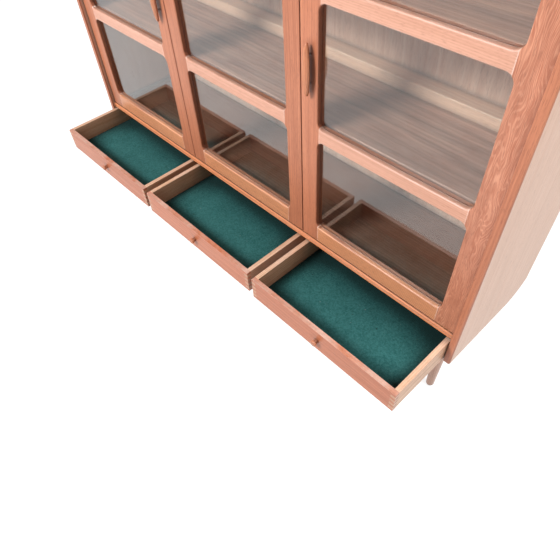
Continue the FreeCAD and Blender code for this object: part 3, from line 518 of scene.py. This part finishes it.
@dataclass(frozen=True)
class WoodFinish:
    """An oiled or stained wood.

    Attributes:
        name: the finish's name.
        pale: the colour between the rings.
        dark: the colour of the rings.
        pore: the colour of the open pores.
        worn_and_highlight_colour: the colour of the edges scuffed by use; on the rails, a painted highlight
            along the arrises.
        end: the factor that darkens end grain.
        ring_scale: how close the rings are.
        figure: how far the rings wander.
        figure_scale: how short the wander's waves are.
        ring_share: how much of the tone the rings make.
        ring_span: the heights of the ring wave between which the tone goes from pale to dark.
        cloud_share: how much slow clouds darken the board.
        rough: the mean roughness.
        sheen: the oil's clear share.
        edge_wear_and_highlight: the share of that edge colour.
        wear_width: how far in the edges reach, in metres.
        painted_shade: the share of the painted shade in gaps and corners.
        painted_shade_reach: how far from a gap or corner it reaches, in metres.
        dust_and_top_highlight: the share of the pale coat on faces that look up; the drawers' large shares
            are a painted highlight.
        lip: the wood of the front edge or lowest board, if it isn't the others'.
        lip_axis: the axis on which that wood comes first.
        lip_width: how far that wood reaches, in metres.
    """

    name: str
    pale: Colour
    dark: Colour
    pore: Colour
    worn_and_highlight_colour: Colour
    end: float = 0.80
    ring_scale: float = 74.0
    figure: float = 0.22
    figure_scale: float = 6.0
    ring_share: float = 0.40
    ring_span: tuple[float, float] = (0.15, 0.95)
    cloud_share: float = 0.16
    rough: float = 0.40
    sheen: float = 0.10
    edge_wear_and_highlight: float = 0.30
    wear_width: float = 0.0015
    painted_shade: float = 0.8
    painted_shade_reach: float = 0.016
    dust_and_top_highlight: float = 0.08
    lip: WoodFinish | None = None
    lip_axis: str = "Y"
    lip_width: float = 0.0044

    def tone(self, bench: NodeBench, board: bpy.types.Node, shade: float) -> bpy.types.NodeSocket:
        """Colour the long grain of one board.

        Args:
            bench: the material's bench.
            board: the board's grain group.
            shade: the factor that sets this board off from its neighbours.

        Returns:
            The colour of the long grain alone.
        """
        rings = bench.span(board.outputs["Rings"], *self.ring_span)
        streaks = bench.span(board.outputs["Streaks"], *STREAKS.edges)
        fibres = bench.span(board.outputs["Fibres"], *FIBRES.edges, -FIBRE_TONE, FIBRE_TONE)
        share = bench.math("ADD", bench.math("MULTIPLY", rings, self.ring_share),
                           bench.math("MULTIPLY", streaks, 1 - self.ring_share))
        share = bench.math("ADD", share, fibres, clamp=True)
        colour = bench.mix(share, shaded(self.pale, shade), shaded(self.dark, shade))
        clouds = bench.span(board.outputs["Clouds"], *BOARD_CLOUDS.edges)
        colour = bench.cover(colour, shaded(self.dark, CLOUD_SHADE * shade), clouds, self.cloud_share)
        return bench.cover(colour, self.pore, board.outputs["Pores"], PORE_SHARE)

    def build(self, effects: SharedEffects, label: str, grain: Grain, place: Point,
              shade: float, front: float) -> bpy.types.Material:
        """Build the material for one board.

        Args:
            effects: the shared node groups.
            label: the board's name.
            grain: the way of the board's fibres.
            place: where the board was in the log, so that no two boards are alike.
            shade: the factor that sets this board off from its neighbours.
            front: where the board begins on the lipping's axis.

        Returns:
            The material.
        """
        material, bench, shader = new_material(f"{self.name}_{label}")
        texture = bench.add("TexCoord")
        point, normal = texture.outputs["Object"], texture.outputs["Normal"]
        board = bench.group(effects.grain, Point=bench.moved(point, place, grain.value),
                            Ring_Scale=self.ring_scale, Figure=self.figure, Figure_Scale=self.figure_scale)
        colour = self.tone(bench, board, shade)
        if self.lip is not None:
            depth = bench.add("SeparateXYZ")
            bench.feed(depth.inputs[0], point)
            edge = front + self.lip_width
            lipping = bench.span(depth.outputs[self.lip_axis], edge + LIP_JOINT, edge)
            colour = bench.mix(lipping, colour, self.lip.tone(bench, board, shade))
        turned = bench.moved(normal, turn=grain.value)
        across = bench.vector("DOT_PRODUCT", turned, (0.0, 0.0, 1.0)).outputs["Value"]
        end_grain = bench.span(bench.math("ABSOLUTE", across), *END_GRAIN)
        colour = bench.cover(colour, self.pore, end_grain, 1 - self.end)
        # Scuffed edges; on the rails this colour is a painted highlight along the arrises.
        edge_mask = bench.group(effects.edge_wear_and_highlight, Point=point, Width=self.wear_width).outputs[0]
        colour = bench.cover(colour, self.worn_and_highlight_colour, edge_mask, self.edge_wear_and_highlight)
        # Painted shade: gaps and inner corners darken, from ambient occlusion, where shade falls.
        closed = bench.group(effects.painted_shade, Reach=self.painted_shade_reach).outputs[0]
        colour = bench.cover(colour, shaded(self.pore, PAINTED_SHADE_TONE), closed, self.painted_shade)
        # Faces that look up turn pale: dust, and on the drawers a painted highlight of the light from above.
        facing_up_mask = bench.group(effects.dust_and_top_highlight, Point=point, Normal=normal, Amount=self.dust_and_top_highlight).outputs[0]
        bench.feed(shader.inputs["Base Color"], bench.mix(facing_up_mask, colour, DUST_AND_TOP_HIGHLIGHT_COLOUR))
        satin = bench.span(board.outputs["Streaks"], *STREAKS.edges,
                           *(self.rough + change for change in STREAK_ROUGH))
        satin = bench.math("ADD", satin, bench.math("MULTIPLY", edge_mask, RUBBED_ROUGH))
        satin = bench.math("ADD", satin, bench.math("MULTIPLY", facing_up_mask, DUST_ROUGH), clamp=True)
        bench.feed(shader.inputs["Roughness"], satin)
        shader.inputs["Coat Weight"].default_value = self.sheen
        shader.inputs["Coat Roughness"].default_value = OIL_ROUGH
        shader.inputs["IOR"].default_value = OIL_IOR
        bump(bench, shader, board.outputs["Height"], GRAIN_DEPTH, strength=0.5)
        return material


@dataclass(frozen=True)
class GlassFinish:
    """Clear sheet glass with a faint green tint and a few smears.

    Attributes:
        name: the finish's name.
        tint: the clean glass's colour.
        smeared: the colour of the smears.
        smeared_rough: the roughness of the smears.
        passing: the colour that lamp light and bounced light keep.
        ior: the index of refraction.
    """

    name: str = "pane_glass"
    tint: Colour = (0.93, 0.965, 0.95)
    smeared: Colour = (0.9, 0.925, 0.915)
    smeared_rough: float = 0.01
    passing: Colour = (0.90, 0.93, 0.92)
    ior: float = 1.54

    def build(self) -> bpy.types.Material:
        """Build the material.

        Returns:
            The material: glass to the eye, and open to lamp light and to bounced light.
        """
        material, bench, shader = new_material(self.name)
        shader.inputs["Transmission Weight"].default_value = 1.0
        shader.inputs["Metallic"].default_value = 0.0
        shader.inputs["IOR"].default_value = self.ior
        smears = GLASS_SMEARS.mask(bench, bench.add("TexCoord").outputs["Object"])
        bench.feed(shader.inputs["Base Color"], bench.mix(smears, self.tint, self.smeared))
        bench.feed(shader.inputs["Roughness"], bench.math("MULTIPLY", smears, self.smeared_rough))
        clear = bench.add("BsdfTransparent")
        clear.inputs["Color"].default_value = (*self.passing, 1.0)
        path = bench.add("LightPath")
        open_rays = bench.math("MAXIMUM", path.outputs["Is Shadow Ray"], path.outputs["Is Diffuse Ray"])
        both = bench.add("MixShader")
        bench.feed(both.inputs[0], open_rays)
        bench.feed(both.inputs[1], shader.outputs[0])
        bench.feed(both.inputs[2], clear.outputs[0])
        bench.feed(material.node_tree.nodes["Material Output"].inputs["Surface"], both.outputs[0])
        return material


@dataclass(frozen=True)
class FeltFinish:
    """Pressed wool felt.

    Attributes:
        name: the finish's name.
        deep: the colour of the hollows.
        lit: the colour of the fibres on top.
        lint: the colour of the lint.
        speck: the colour of the dark specks.
        sheen: the colour of the fuzz that catches the light.
        fibres: matted fibres per metre.
        shade_reach: how far from the drawer's walls and the case's edge the painted shade reaches, in metres.
        shade_span: how closed in a place is where the painted shade starts, and where it is full.
        matting: the distance to a fibre's edge over which the hollows end, in a fibre's widths.
        shares: how much clouds, nap and fibres make of the tone.
        nap_depth: how deep the nap is, in metres.
    """

    name: str = "green_felt"
    deep: Colour = (0.004, 0.058, 0.056)
    lit: Colour = (0.048, 0.188, 0.184)
    lint: Colour = (0.30, 0.36, 0.34)
    speck: Colour = (0.012, 0.02, 0.02)
    sheen: Colour = (0.35, 0.75, 0.7)
    fibres: float = 1300.0
    shade_reach: float = 0.09
    shade_span: Range = (0.08, 0.7)
    matting: float = 0.25
    shares: tuple[float, float, float] = (0.25, 0.5, 0.25)
    nap_depth: float = 0.0004

    def build(self, effects: SharedEffects) -> bpy.types.Material:
        """Build the material.

        Args:
            effects: the shared node groups.

        Returns:
            The material, with matted fibres, slow cloudiness, a few specks of lint, and painted shade in the
            corners and under the case's edge.
        """
        material, bench, shader = new_material(self.name)
        point = bench.add("TexCoord").outputs["Object"]
        clouds = FELT_CLOUDS.mask(bench, point)
        nap = FELT_NAP.mask(bench, point)
        bent = bench.vector("ADD", point, bench.add("TexNoise").outputs["Color"]).outputs[0]
        fibres = bench.add("TexVoronoi", feature="DISTANCE_TO_EDGE")
        bench.feed(fibres.inputs["Vector"], bent)
        fibres.inputs["Scale"].default_value = self.fibres
        matted = bench.span(fibres.outputs["Distance"], 0.0, self.matting)
        layers = [bench.math("MULTIPLY", *pair) for pair in zip((clouds, nap, matted), self.shares)]
        tone = bench.math("ADD", bench.math("ADD", *layers[:2]), layers[2], clamp=True)
        colour = bench.mix(tone, self.deep, self.lit)
        colour = bench.cover(colour, self.lint, FELT_LINT.mask(bench, point), share=0.4)
        colour = bench.cover(colour, self.speck, FELT_SPECKS.mask(bench, point), share=0.8)
        # Painted shade: the felt turns dark near the drawer's walls and under the case's edge.
        corner = bench.group(effects.painted_shade, Reach=self.shade_reach).outputs[0]
        corner = bench.span(corner, *self.shade_span, out_high=0.95)
        bench.feed(shader.inputs["Base Color"], bench.mix(corner, colour, shaded(self.deep, shade=0.15)))
        shader.inputs["Roughness"].default_value = 0.95
        shader.inputs["Specular IOR Level"].default_value = 0.15
        shader.inputs["Sheen Weight"].default_value = 0.12
        shader.inputs["Sheen Roughness"].default_value = 0.6
        shader.inputs["Sheen Tint"].default_value = (*self.sheen, 1.0)
        height = bench.math("ADD", nap, bench.math("MULTIPLY", matted, 0.5))
        bump(bench, shader, height, self.nap_depth, strength=0.6)
        return material


@dataclass(frozen=True)
class MetalFinish:
    """A brushed metal.

    Attributes:
        name: the finish's name.
        bright: the clean colour.
        dull: the tarnished colour.
        rough: the mean roughness.
        wear_width: how far in the edges are polished bright by handling, in metres.
        scratch_depth: how deep the brushing is, in metres.
    """

    name: str
    bright: Colour
    dull: Colour
    rough: float
    wear_width: float = 0.0006
    scratch_depth: float = 0.00003

    def build(self, effects: SharedEffects) -> bpy.types.Material:
        """Build the material.

        Args:
            effects: the shared node groups.

        Returns:
            The material.
        """
        material, bench, shader = new_material(self.name)
        point = bench.add("TexCoord").outputs["Object"]
        lines = BRUSHING.lay(bench, point)
        edge_mask = bench.group(effects.edge_wear_and_highlight, Point=point, Width=self.wear_width).outputs[0]
        colour = bench.mix(TARNISH.mask(bench, point), self.bright, self.dull)
        bench.feed(shader.inputs["Base Color"], bench.cover(colour, self.bright, edge_mask, share=0.6))
        shader.inputs["Metallic"].default_value = 1.0
        rough = bench.span(lines, *BRUSHING.edges, out_low=self.rough - 0.06, out_high=self.rough + 0.1)
        bench.feed(shader.inputs["Roughness"], rough)
        bump(bench, shader, lines, self.scratch_depth, strength=0.35)
        return material


@dataclass(frozen=True)
class PlasticFinish:
    """Moulded plastic, scuffed where it stands.

    Attributes:
        name: the finish's name.
        clean: the clean colour.
        scuffed: the colour of the scuffs.
        wear_width: how far in the edges are scuffed, in metres.
        skin_depth: how deep the moulded skin's texture is, in metres.
    """

    name: str = "glide_plastic"
    clean: Colour = (0.80, 0.79, 0.75)
    scuffed: Colour = (0.42, 0.40, 0.37)
    wear_width: float = 0.0012
    skin_depth: float = 0.00004

    def build(self, effects: SharedEffects) -> bpy.types.Material:
        """Build the material.

        Args:
            effects: the shared node groups.

        Returns:
            The material.
        """
        material, bench, shader = new_material(self.name)
        point = bench.add("TexCoord").outputs["Object"]
        scuffs = PLASTIC_SCUFFS.mask(bench, point)
        edge_mask = bench.group(effects.edge_wear_and_highlight, Point=point, Width=self.wear_width).outputs[0]
        marks = bench.math("MAXIMUM", scuffs, edge_mask)
        bench.feed(shader.inputs["Base Color"], bench.cover(self.clean, self.scuffed, marks, share=0.5))
        rough = bench.span(scuffs, 0.0, 1.0, out_low=0.42, out_high=0.65)
        bench.feed(shader.inputs["Roughness"], rough)
        bump(bench, shader, PLASTIC_SKIN.lay(bench, point), self.skin_depth, strength=0.4)
        return material


FRONT_WOOD = WoodFinish("frame_wood", pale=(0.66, 0.245, 0.126), dark=(0.43, 0.142, 0.072),
                        pore=(0.24, 0.07, 0.036), worn_and_highlight_colour=(0.84, 0.48, 0.34), ring_share=0.3, cloud_share=0.3)
FIGURED_WOOD = WoodFinish("figured_wood", pale=(0.84, 0.40, 0.25), dark=(0.50, 0.165, 0.088),
                          pore=(0.26, 0.09, 0.05), worn_and_highlight_colour=(0.84, 0.50, 0.38), ring_scale=84.0, figure=0.75,
                          figure_scale=26.0, ring_share=0.55, ring_span=(-0.1, 0.5), cloud_share=0.6)
LOW_RAIL_WOOD = WoodFinish("low_rail_wood", pale=(0.96, 0.43, 0.21), dark=(0.50, 0.18, 0.085),
                           pore=(0.28, 0.09, 0.05), worn_and_highlight_colour=(0.97, 0.78, 0.70), ring_share=0.85)
# Rails: the pale pink above the bottom rail is a painted sheen of the light from above, and the arrises take
# a painted highlight in full. The lowest 0.1 m, the bottom rail, keeps the rails' own orange tone from the
# wood above.
RAIL_WOOD_PAINTED_SHEEN = WoodFinish("rail_wood_painted_sheen", pale=(0.80, 0.42, 0.295), dark=(0.62, 0.295, 0.19),
                       pore=(0.34, 0.12, 0.065), worn_and_highlight_colour=(0.97, 0.78, 0.70), sheen=0.35, edge_wear_and_highlight=1.0,
                       wear_width=0.004, lip=LOW_RAIL_WOOD, lip_axis="Z", lip_width=0.1)
CASE_RAIL_WOOD = WoodFinish("case_rail_wood", pale=(0.97, 0.37, 0.15), dark=(0.60, 0.185, 0.07),
                            pore=(0.32, 0.10, 0.05), worn_and_highlight_colour=(0.90, 0.54, 0.38))
# The drawer fronts' faces that look up carry a painted highlight in their large share of the pale coat.
DRAWER_FRONT_WOOD = WoodFinish("drawer_front_wood", pale=(0.58, 0.182, 0.082), dark=(0.39, 0.115, 0.049),
                               pore=(0.24, 0.075, 0.04), worn_and_highlight_colour=(0.82, 0.46, 0.33), dust_and_top_highlight=0.55)
CASE_VENEER = WoodFinish("case_veneer", pale=(0.81, 0.54, 0.41), dark=(0.75, 0.475, 0.345),
                         pore=(0.46, 0.26, 0.18), worn_and_highlight_colour=(0.86, 0.64, 0.52), ring_scale=40.0, ring_share=0.3,
                         rough=0.44, edge_wear_and_highlight=0.2, lip=FRONT_WOOD)
# The top's veneer is a darker copy of the sides': painted shade that keeps the top, which the key lamp lights
# from above, below white.
SHADED_TOP_VENEER = WoodFinish("shaded_top_veneer", pale=(0.60, 0.37, 0.265), dark=(0.50, 0.29, 0.20),
                        pore=(0.34, 0.18, 0.12), worn_and_highlight_colour=(0.72, 0.48, 0.36), ring_scale=40.0, ring_share=0.3,
                        rough=0.44, edge_wear_and_highlight=0.2, lip=FRONT_WOOD)
FLOOR_VENEER = WoodFinish("floor_veneer", pale=(0.24, 0.105, 0.066), dark=(0.13, 0.05, 0.029),
                          pore=(0.05, 0.02, 0.012), worn_and_highlight_colour=(0.50, 0.28, 0.19), rough=0.46, edge_wear_and_highlight=0.2,
                          lip=CASE_RAIL_WOOD, lip_width=0.016)
SHELF_VENEER = WoodFinish("shelf_veneer", pale=(0.54, 0.275, 0.19), dark=(0.17, 0.064, 0.038),
                          pore=(0.20, 0.10, 0.065), worn_and_highlight_colour=(0.70, 0.48, 0.38), ring_scale=30.0, ring_share=0.25,
                          figure=0.4, cloud_share=0.4, rough=0.46, edge_wear_and_highlight=0.2, dust_and_top_highlight=0.12)
BACK_VENEER = WoodFinish("back_veneer", pale=(1.0, 0.74, 0.61), dark=(0.80, 0.50, 0.38),
                         pore=(0.34, 0.18, 0.12), worn_and_highlight_colour=(0.84, 0.60, 0.47), ring_scale=16.0, ring_share=0.3,
                         figure=0.8, cloud_share=0.3, rough=0.46, edge_wear_and_highlight=0.2)
PLATE_RAIL_WOOD = WoodFinish("plate_rail_wood", pale=(0.90, 0.62, 0.46), dark=(0.78, 0.48, 0.34),
                             pore=(0.42, 0.22, 0.15), worn_and_highlight_colour=(0.90, 0.70, 0.56))
# The drawers' inner walls darken with a wide painted shade, and their rims pale with a painted highlight.
DRAWER_WOOD = WoodFinish("drawer_wood", pale=(0.80, 0.51, 0.33), dark=(0.55, 0.29, 0.165),
                         pore=(0.34, 0.17, 0.10), worn_and_highlight_colour=(0.86, 0.60, 0.44), rough=0.46,
                         end=0.5, painted_shade=0.6, painted_shade_reach=0.06, dust_and_top_highlight=0.35)
PULL_WOOD = WoodFinish("pull_wood", pale=(0.68, 0.27, 0.135), dark=(0.40, 0.13, 0.058),
                       pore=(0.14, 0.04, 0.022), worn_and_highlight_colour=(0.80, 0.42, 0.27), ring_scale=90.0, rough=0.38,
                       sheen=0.08)
HIDDEN_WOOD = WoodFinish("hidden_wood", pale=(0.62, 0.38, 0.25), dark=(0.50, 0.28, 0.17),
                         pore=(0.26, 0.12, 0.07), worn_and_highlight_colour=(0.68, 0.46, 0.33), rough=0.55, sheen=0.0)
LEG_WOOD = WoodFinish("turned_wood", pale=(0.66, 0.37, 0.255), dark=(0.50, 0.25, 0.165),
                      pore=(0.10, 0.045, 0.03), worn_and_highlight_colour=(0.44, 0.27, 0.20), rough=0.33, sheen=0.3)


# Groups of pieces


def dress(node: bpy.types.Object, material: bpy.types.Material) -> None:
    """Give every material slot of a node the same finish.

    Args:
        node: the node's object.
        material: the finish.
    """
    for place in node.material_slots:
        place.material = material
    LOG.info("%s wears %s", node.name, material.name)


# How the boards lie in the log, in metres, and how far their shades differ
LOG_BESIDE = 0.11
LOG_OUT = 0.13
LOG_OUT_SPREAD = 0.07
LOG_STEP = 0.83
SHADE_SPREAD = 0.045
# The turns from board to board, in radians, which keep the boards from repeating
BESIDE_TURN, OUT_TURN, SHADE_TURN = 2.4, 1.7, 3.1


def log_place(number: int) -> Point:
    """Say where in the log a board was: off the heart, and further along for each board."""
    out = LOG_OUT + LOG_OUT_SPREAD * math.cos(OUT_TURN * number)
    return LOG_BESIDE * math.sin(BESIDE_TURN * number), out, LOG_STEP * number


def board_shade(number: int) -> float:
    """Say by what factor a board is lighter or darker than its finish."""
    return 1.0 + SHADE_SPREAD * math.sin(SHADE_TURN * number)


@dataclass
class Woodwork:
    """A group of boards of one finish and one way of grain.

    Attributes:
        finish: the wood.
        grain: the way of the fibres.
        names: the nodes.
    """

    finish: WoodFinish
    grain: Grain
    names: tuple[str, ...]

    def finish_boards(self, nodes: dict[str, bpy.types.Object], effects: SharedEffects, first: int) -> int:
        """Dress each board from its own place in the log.

        Args:
            nodes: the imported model's nodes.
            effects: the shared node groups.
            first: the number of the first board.

        Returns:
            The number after the last board.
        """
        for number, name in enumerate(self.names, first):
            front = getattr(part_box(name)[0], self.finish.lip_axis.lower())
            dress(nodes[name], self.finish.build(effects, name, self.grain, log_place(number),
                                                 board_shade(number), front))
        return first + len(self.names)


@dataclass
class Cabinetwork:
    """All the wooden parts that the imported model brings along.

    Attributes:
        effects: the shared node groups.
        groups: the boards, by finish and way of grain.
    """

    effects: SharedEffects
    groups: list[Woodwork] = field(default_factory=lambda: [
        Woodwork(CASE_VENEER, Grain.ALONG_Z, ("side_left", "side_right")),
        Woodwork(SHADED_TOP_VENEER, Grain.ALONG_X, ("top_panel",)),
        Woodwork(BACK_VENEER, Grain.ALONG_Z, ("back_panel",)),
        Woodwork(SHELF_VENEER, Grain.ALONG_X, ("shelf_lower", "shelf_upper")),
        Woodwork(FLOOR_VENEER, Grain.ALONG_X, ("case_floor",)),
        Woodwork(RAIL_WOOD_PAINTED_SHEEN, Grain.ALONG_X, ("window_rails", "door_left_rails", "door_right_rails")),
        Woodwork(FRONT_WOOD, Grain.ALONG_X, ("window_beads", "door_left_beads", "door_right_beads")),
        Woodwork(DRAWER_FRONT_WOOD, Grain.ALONG_X, tuple(f"{s.value}_front" for s in Side)),
        Woodwork(PLATE_RAIL_WOOD, Grain.ALONG_X, ("plate_rails",)),
        Woodwork(FRONT_WOOD, Grain.ALONG_Z, ("window_stiles", "door_left_hinge_stile", "door_left_pull_stile",
                                             "door_right_pull_stile")),
        Woodwork(FIGURED_WOOD, Grain.ALONG_Z, ("door_right_hinge_stile",)),
        Woodwork(DRAWER_WOOD, Grain.ALONG_Y, tuple(f"{s.value}_sides" for s in Side)),
        Woodwork(DRAWER_WOOD, Grain.ALONG_X, tuple(f"{s.value}_{part}" for s in Side
                                                   for part in ("back", "bottom"))),
        Woodwork(PULL_WOOD, Grain.ALONG_Z, ("door_left_pull", "door_right_pull")),
        Woodwork(PULL_WOOD, Grain.ALONG_Y, tuple(f"{s.value}_knob" for s in Side)),
        Woodwork(HIDDEN_WOOD, Grain.ALONG_X, ("base_frame", "door_stops", "drawer_stops")),
        Woodwork(HIDDEN_WOOD, Grain.ALONG_Y, ("drawer_dividers",)),
        Woodwork(LEG_WOOD, Grain.ALONG_Z, ("leg_front_left", "leg_front_right", "leg_rear_left",
                                           "leg_rear_right")),
    ])

    def make(self, nodes: dict[str, bpy.types.Object]) -> None:
        """Dress every board.

        Args:
            nodes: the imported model's nodes.
        """
        number = 1
        for group in self.groups:
            number = group.finish_boards(nodes, self.effects, number)


@dataclass
class Hardware:
    """Panes, hinges, pins, catches and glides.

    Attributes:
        effects: the shared node groups.
        glass: the panes' glass.
        brass: the hinges' brass.
        steel: the steel of pins, catches and plates.
        plastic: the glides' plastic.
    """

    effects: SharedEffects
    glass: GlassFinish = GlassFinish()
    brass: MetalFinish = MetalFinish("hinge_brass", (0.72, 0.53, 0.25), (0.44, 0.30, 0.13), 0.3)
    steel: MetalFinish = MetalFinish("pin_steel", (0.66, 0.66, 0.66), (0.48, 0.47, 0.46), 0.26)
    plastic: PlasticFinish = PlasticFinish()

    def make(self, nodes: dict[str, bpy.types.Object]) -> None:
        """Dress every piece that isn't wood.

        Args:
            nodes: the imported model's nodes.
        """
        finishes = {
            "panes": self.glass.build(), "leaves": self.brass.build(self.effects),
            "pins": self.steel.build(self.effects), "glides": self.plastic.build(self.effects)}
        finishes["catches"] = finishes["plates"] = finishes["pins"]
        for name, node in nodes.items():
            material = finishes.get(name.rsplit("_", 1)[-1])
            if material is not None:
                dress(node, material)


@dataclass
class FeltLining:
    """The felt laid on a drawer's bottom.

    Attributes:
        side: the drawer.
        finish: the felt's material.
        across: how many faces wide.
        deep: how many faces deep.
        lift: how far the felt waves, in metres.
        wave_length: how long the waves are, in metres.
        edge: how far the cut edge is rounded, in metres.
    """

    side: Side
    finish: bpy.types.Material
    across: int = 72
    deep: int = 48
    lift: float = 0.0005
    wave_length: float = 0.06
    edge: float = 0.0006

    def make(self) -> bpy.types.Object:
        """Cut, lay and soften the felt.

        Returns:
            The felt's object.
        """
        name = f"{self.side.value}_felt"
        low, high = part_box(name)
        width, length = high.x - low.x, high.y - low.y
        thick = high.z - low.z
        bpy.ops.object.select_all(action="DESELECT")
        bpy.ops.mesh.primitive_grid_add(x_subdivisions=self.across, y_subdivisions=self.deep, size=1.0)
        felt = bpy.context.object
        felt.name = f"{self.side.value}_felt_lining"
        bpy.ops.object.mode_set(mode="EDIT")
        bpy.ops.mesh.select_all(action="SELECT")
        bpy.ops.transform.resize(value=(width, length, 1.0))
        bpy.ops.transform.translate(value=((low.x + high.x) / 2, (low.y + high.y) / 2, high.z - self.lift))
        bpy.ops.object.mode_set(mode="OBJECT")
        clouds = bpy.data.textures.new(f"{felt.name}_waves", "CLOUDS")
        clouds.noise_scale = self.wave_length
        wave = felt.modifiers.new("waves", "DISPLACE")
        wave.texture, wave.texture_coords = clouds, "GLOBAL"
        wave.strength, wave.mid_level = self.lift, 0.5
        bulk = felt.modifiers.new("bulk", "SOLIDIFY")
        bulk.thickness, bulk.offset = thick - self.lift, -1.0
        soft = felt.modifiers.new("cut_edge", "BEVEL")
        soft.width, soft.segments = self.edge, 2
        soft.limit_method, soft.angle_limit = "ANGLE", math.radians(60)
        for modifier in ("waves", "bulk", "cut_edge"):
            bpy.ops.object.modifier_apply(modifier=modifier)
        bpy.ops.object.shade_smooth_by_angle(angle=math.radians(50))
        bpy.ops.object.transform_apply(location=True, rotation=True, scale=True)
        felt.data.materials.append(self.finish)
        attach(felt, self.side.value)
        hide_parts(name)
        LOG.info("%s: %.0f by %.0f mm", felt.name, width * 1000, length * 1000)
        return felt


# Studio


@dataclass
class Lamp:
    """A soft rectangular lamp.

    Attributes:
        name: the lamp's name.
        place: its middle.
        aim: the point that it faces.
        width: its width in metres.
        height: its height in metres.
        power: its power in watts.
    """

    name: str
    place: Point
    aim: Point
    width: float
    height: float
    power: float

    def make(self) -> None:
        """Hang the lamp."""
        bpy.ops.object.light_add(type="AREA", location=self.place)
        lamp = bpy.context.object
        lamp.name = self.name
        lamp.data.shape = "RECTANGLE"
        lamp.data.size, lamp.data.size_y, lamp.data.energy = self.width, self.height, self.power
        lamp.rotation_euler = (Vector(self.aim) - Vector(self.place)).to_track_quat("-Z", "Y").to_euler()
        LOG.info("lamp %s", self.name)


@dataclass
class Studio:
    """White floor, white surroundings and soft lamps.

    Attributes:
        ambient: the strength of the surroundings on the object.
        floor_glow: what the floor adds for the eye, for gloss and for glass.
        floor_size: the floor's width in metres.
        paint: the greys between which the floor's paint lies, for bounced light.
        seen_paint: the grey of the floor for the eye, for gloss and for glass.
        lamps: the lamps.
    """

    ambient: float = 0.28
    floor_glow: float = 0.78
    floor_size: float = 40.0
    paint: Range = (0.68, 0.71)
    seen_paint: float = 0.40
    lamps: tuple[Lamp, ...] = (
        Lamp("upper_left_key", (-0.7, -2.7, 3.0), (0.2, -0.1, 0.8), 1.2, 1.0, 148.0),
        Lamp("right_side_fill", (2.1, 0.5, 3.2), (0.7, 0.1, 1.2), 1.1, 1.0, 72.0),
    )

    def make(self) -> None:
        """Set the surroundings, the floor and the lamps."""
        self._surroundings()
        self._floor()
        for lamp in self.lamps:
            lamp.make()

    def _seen(self, bench: NodeBench) -> bpy.types.NodeSocket:
        """Tell the rays of the eye, of gloss and of glass from the others.

        Args:
            bench: the tree's bench.

        Returns:
            1 for those rays and 0 for the others.
        """
        path = bench.add("LightPath")
        seen = bench.math("MAXIMUM", path.outputs["Is Camera Ray"], path.outputs["Is Glossy Ray"])
        return bench.math("MAXIMUM", seen, path.outputs["Is Transmission Ray"])

    def _surroundings(self) -> None:
        """Make the world white to the eye and a plain level to the object."""
        world = bpy.data.worlds.new("white_surroundings")
        bpy.context.scene.world = world
        world.use_nodes = True
        bench = NodeBench(world.node_tree)
        back = world.node_tree.nodes["Background"]
        back.inputs["Color"].default_value = (1.0, 1.0, 1.0, 1.0)
        bench.feed(back.inputs["Strength"], bench.span(self._seen(bench), 0.0, 1.0, self.ambient, 1.0))

    def _floor(self) -> None:
        """Lay the floor, which keeps the object's shadow."""
        bpy.ops.object.select_all(action="DESELECT")
        bpy.ops.mesh.primitive_grid_add(x_subdivisions=4, y_subdivisions=4, size=self.floor_size)
        floor = bpy.context.object
        floor.name = "studio_floor"
        material, bench, shader = new_material("studio_floor_white")
        seen = self._seen(bench)
        patches = FLOOR_PAINT.lay(bench, bench.add("TexCoord").outputs["Object"])
        dark, pale = ((grey, grey, grey) for grey in self.paint)
        paint = bench.mix(patches, dark, pale)
        bench.feed(shader.inputs["Base Color"], bench.mix(seen, paint, (self.seen_paint,) * 3))
        shader.inputs["Roughness"].default_value = 0.9
        shader.inputs["Specular IOR Level"].default_value = 0.1
        shader.inputs["Emission Color"].default_value = (1.0, 1.0, 1.0, 1.0)
        bench.feed(shader.inputs["Emission Strength"], bench.math("MULTIPLY", seen, self.floor_glow))
        floor.data.materials.append(material)
        LOG.info("studio floor")


@dataclass
class PhotoCamera:
    """The camera at the photograph's place.

    Attributes:
        place: the camera's place in metres.
        yaw: the turn to the right of +Y.
        pitch: the tilt up.
        roll: the turn about the view.
        lens: the focal length in millimetres.
        sensor: the sensor's width in millimetres.
        clip: the nearest and the farthest distance that show, in metres.
    """

    place: Point = (0.901939, -0.708306, 1.252090)
    yaw: float = -0.865224
    pitch: float = -0.870573
    roll: float = -0.0704909
    lens: float = 32.939
    sensor: float = 36.0
    clip: Range = (0.02, 200.0)

    def make(self) -> None:
        """Set up the camera and make it the scene's own."""
        forward = Vector((math.sin(self.yaw) * math.cos(self.pitch),
                          math.cos(self.yaw) * math.cos(self.pitch), math.sin(self.pitch)))
        level = Vector((math.cos(self.yaw), -math.sin(self.yaw), 0.0))
        upright = level.cross(forward)
        right = math.cos(self.roll) * level + math.sin(self.roll) * upright
        up = math.cos(self.roll) * upright - math.sin(self.roll) * level
        bpy.ops.object.camera_add()
        camera = bpy.context.object
        camera.name = "photo_camera"
        camera.data.sensor_width, camera.data.lens = self.sensor, self.lens
        camera.data.clip_start, camera.data.clip_end = self.clip
        turn = Matrix((right, up, -forward)).transposed().to_4x4()
        camera.matrix_world = Matrix.Translation(self.place) @ turn
        bpy.context.scene.camera = camera
        LOG.info("camera")


def main() -> None:
    """Build the scene: the camera, the studio, the dressed model and the felt linings."""
    logging.basicConfig(level=logging.INFO, format="%(name)s: %(message)s")
    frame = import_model()
    nodes = frame["nodes"]
    bpy.context.scene.view_settings.view_transform = "Standard"
    PhotoCamera().make()
    Studio().make()
    effects = SharedEffects()
    Cabinetwork(effects).make(nodes)
    Hardware(effects).make(nodes)
    felt = FeltFinish().build(effects)
    for side in Side:
        FeltLining(side, felt).make()


if __name__ == "__main__":
    main()
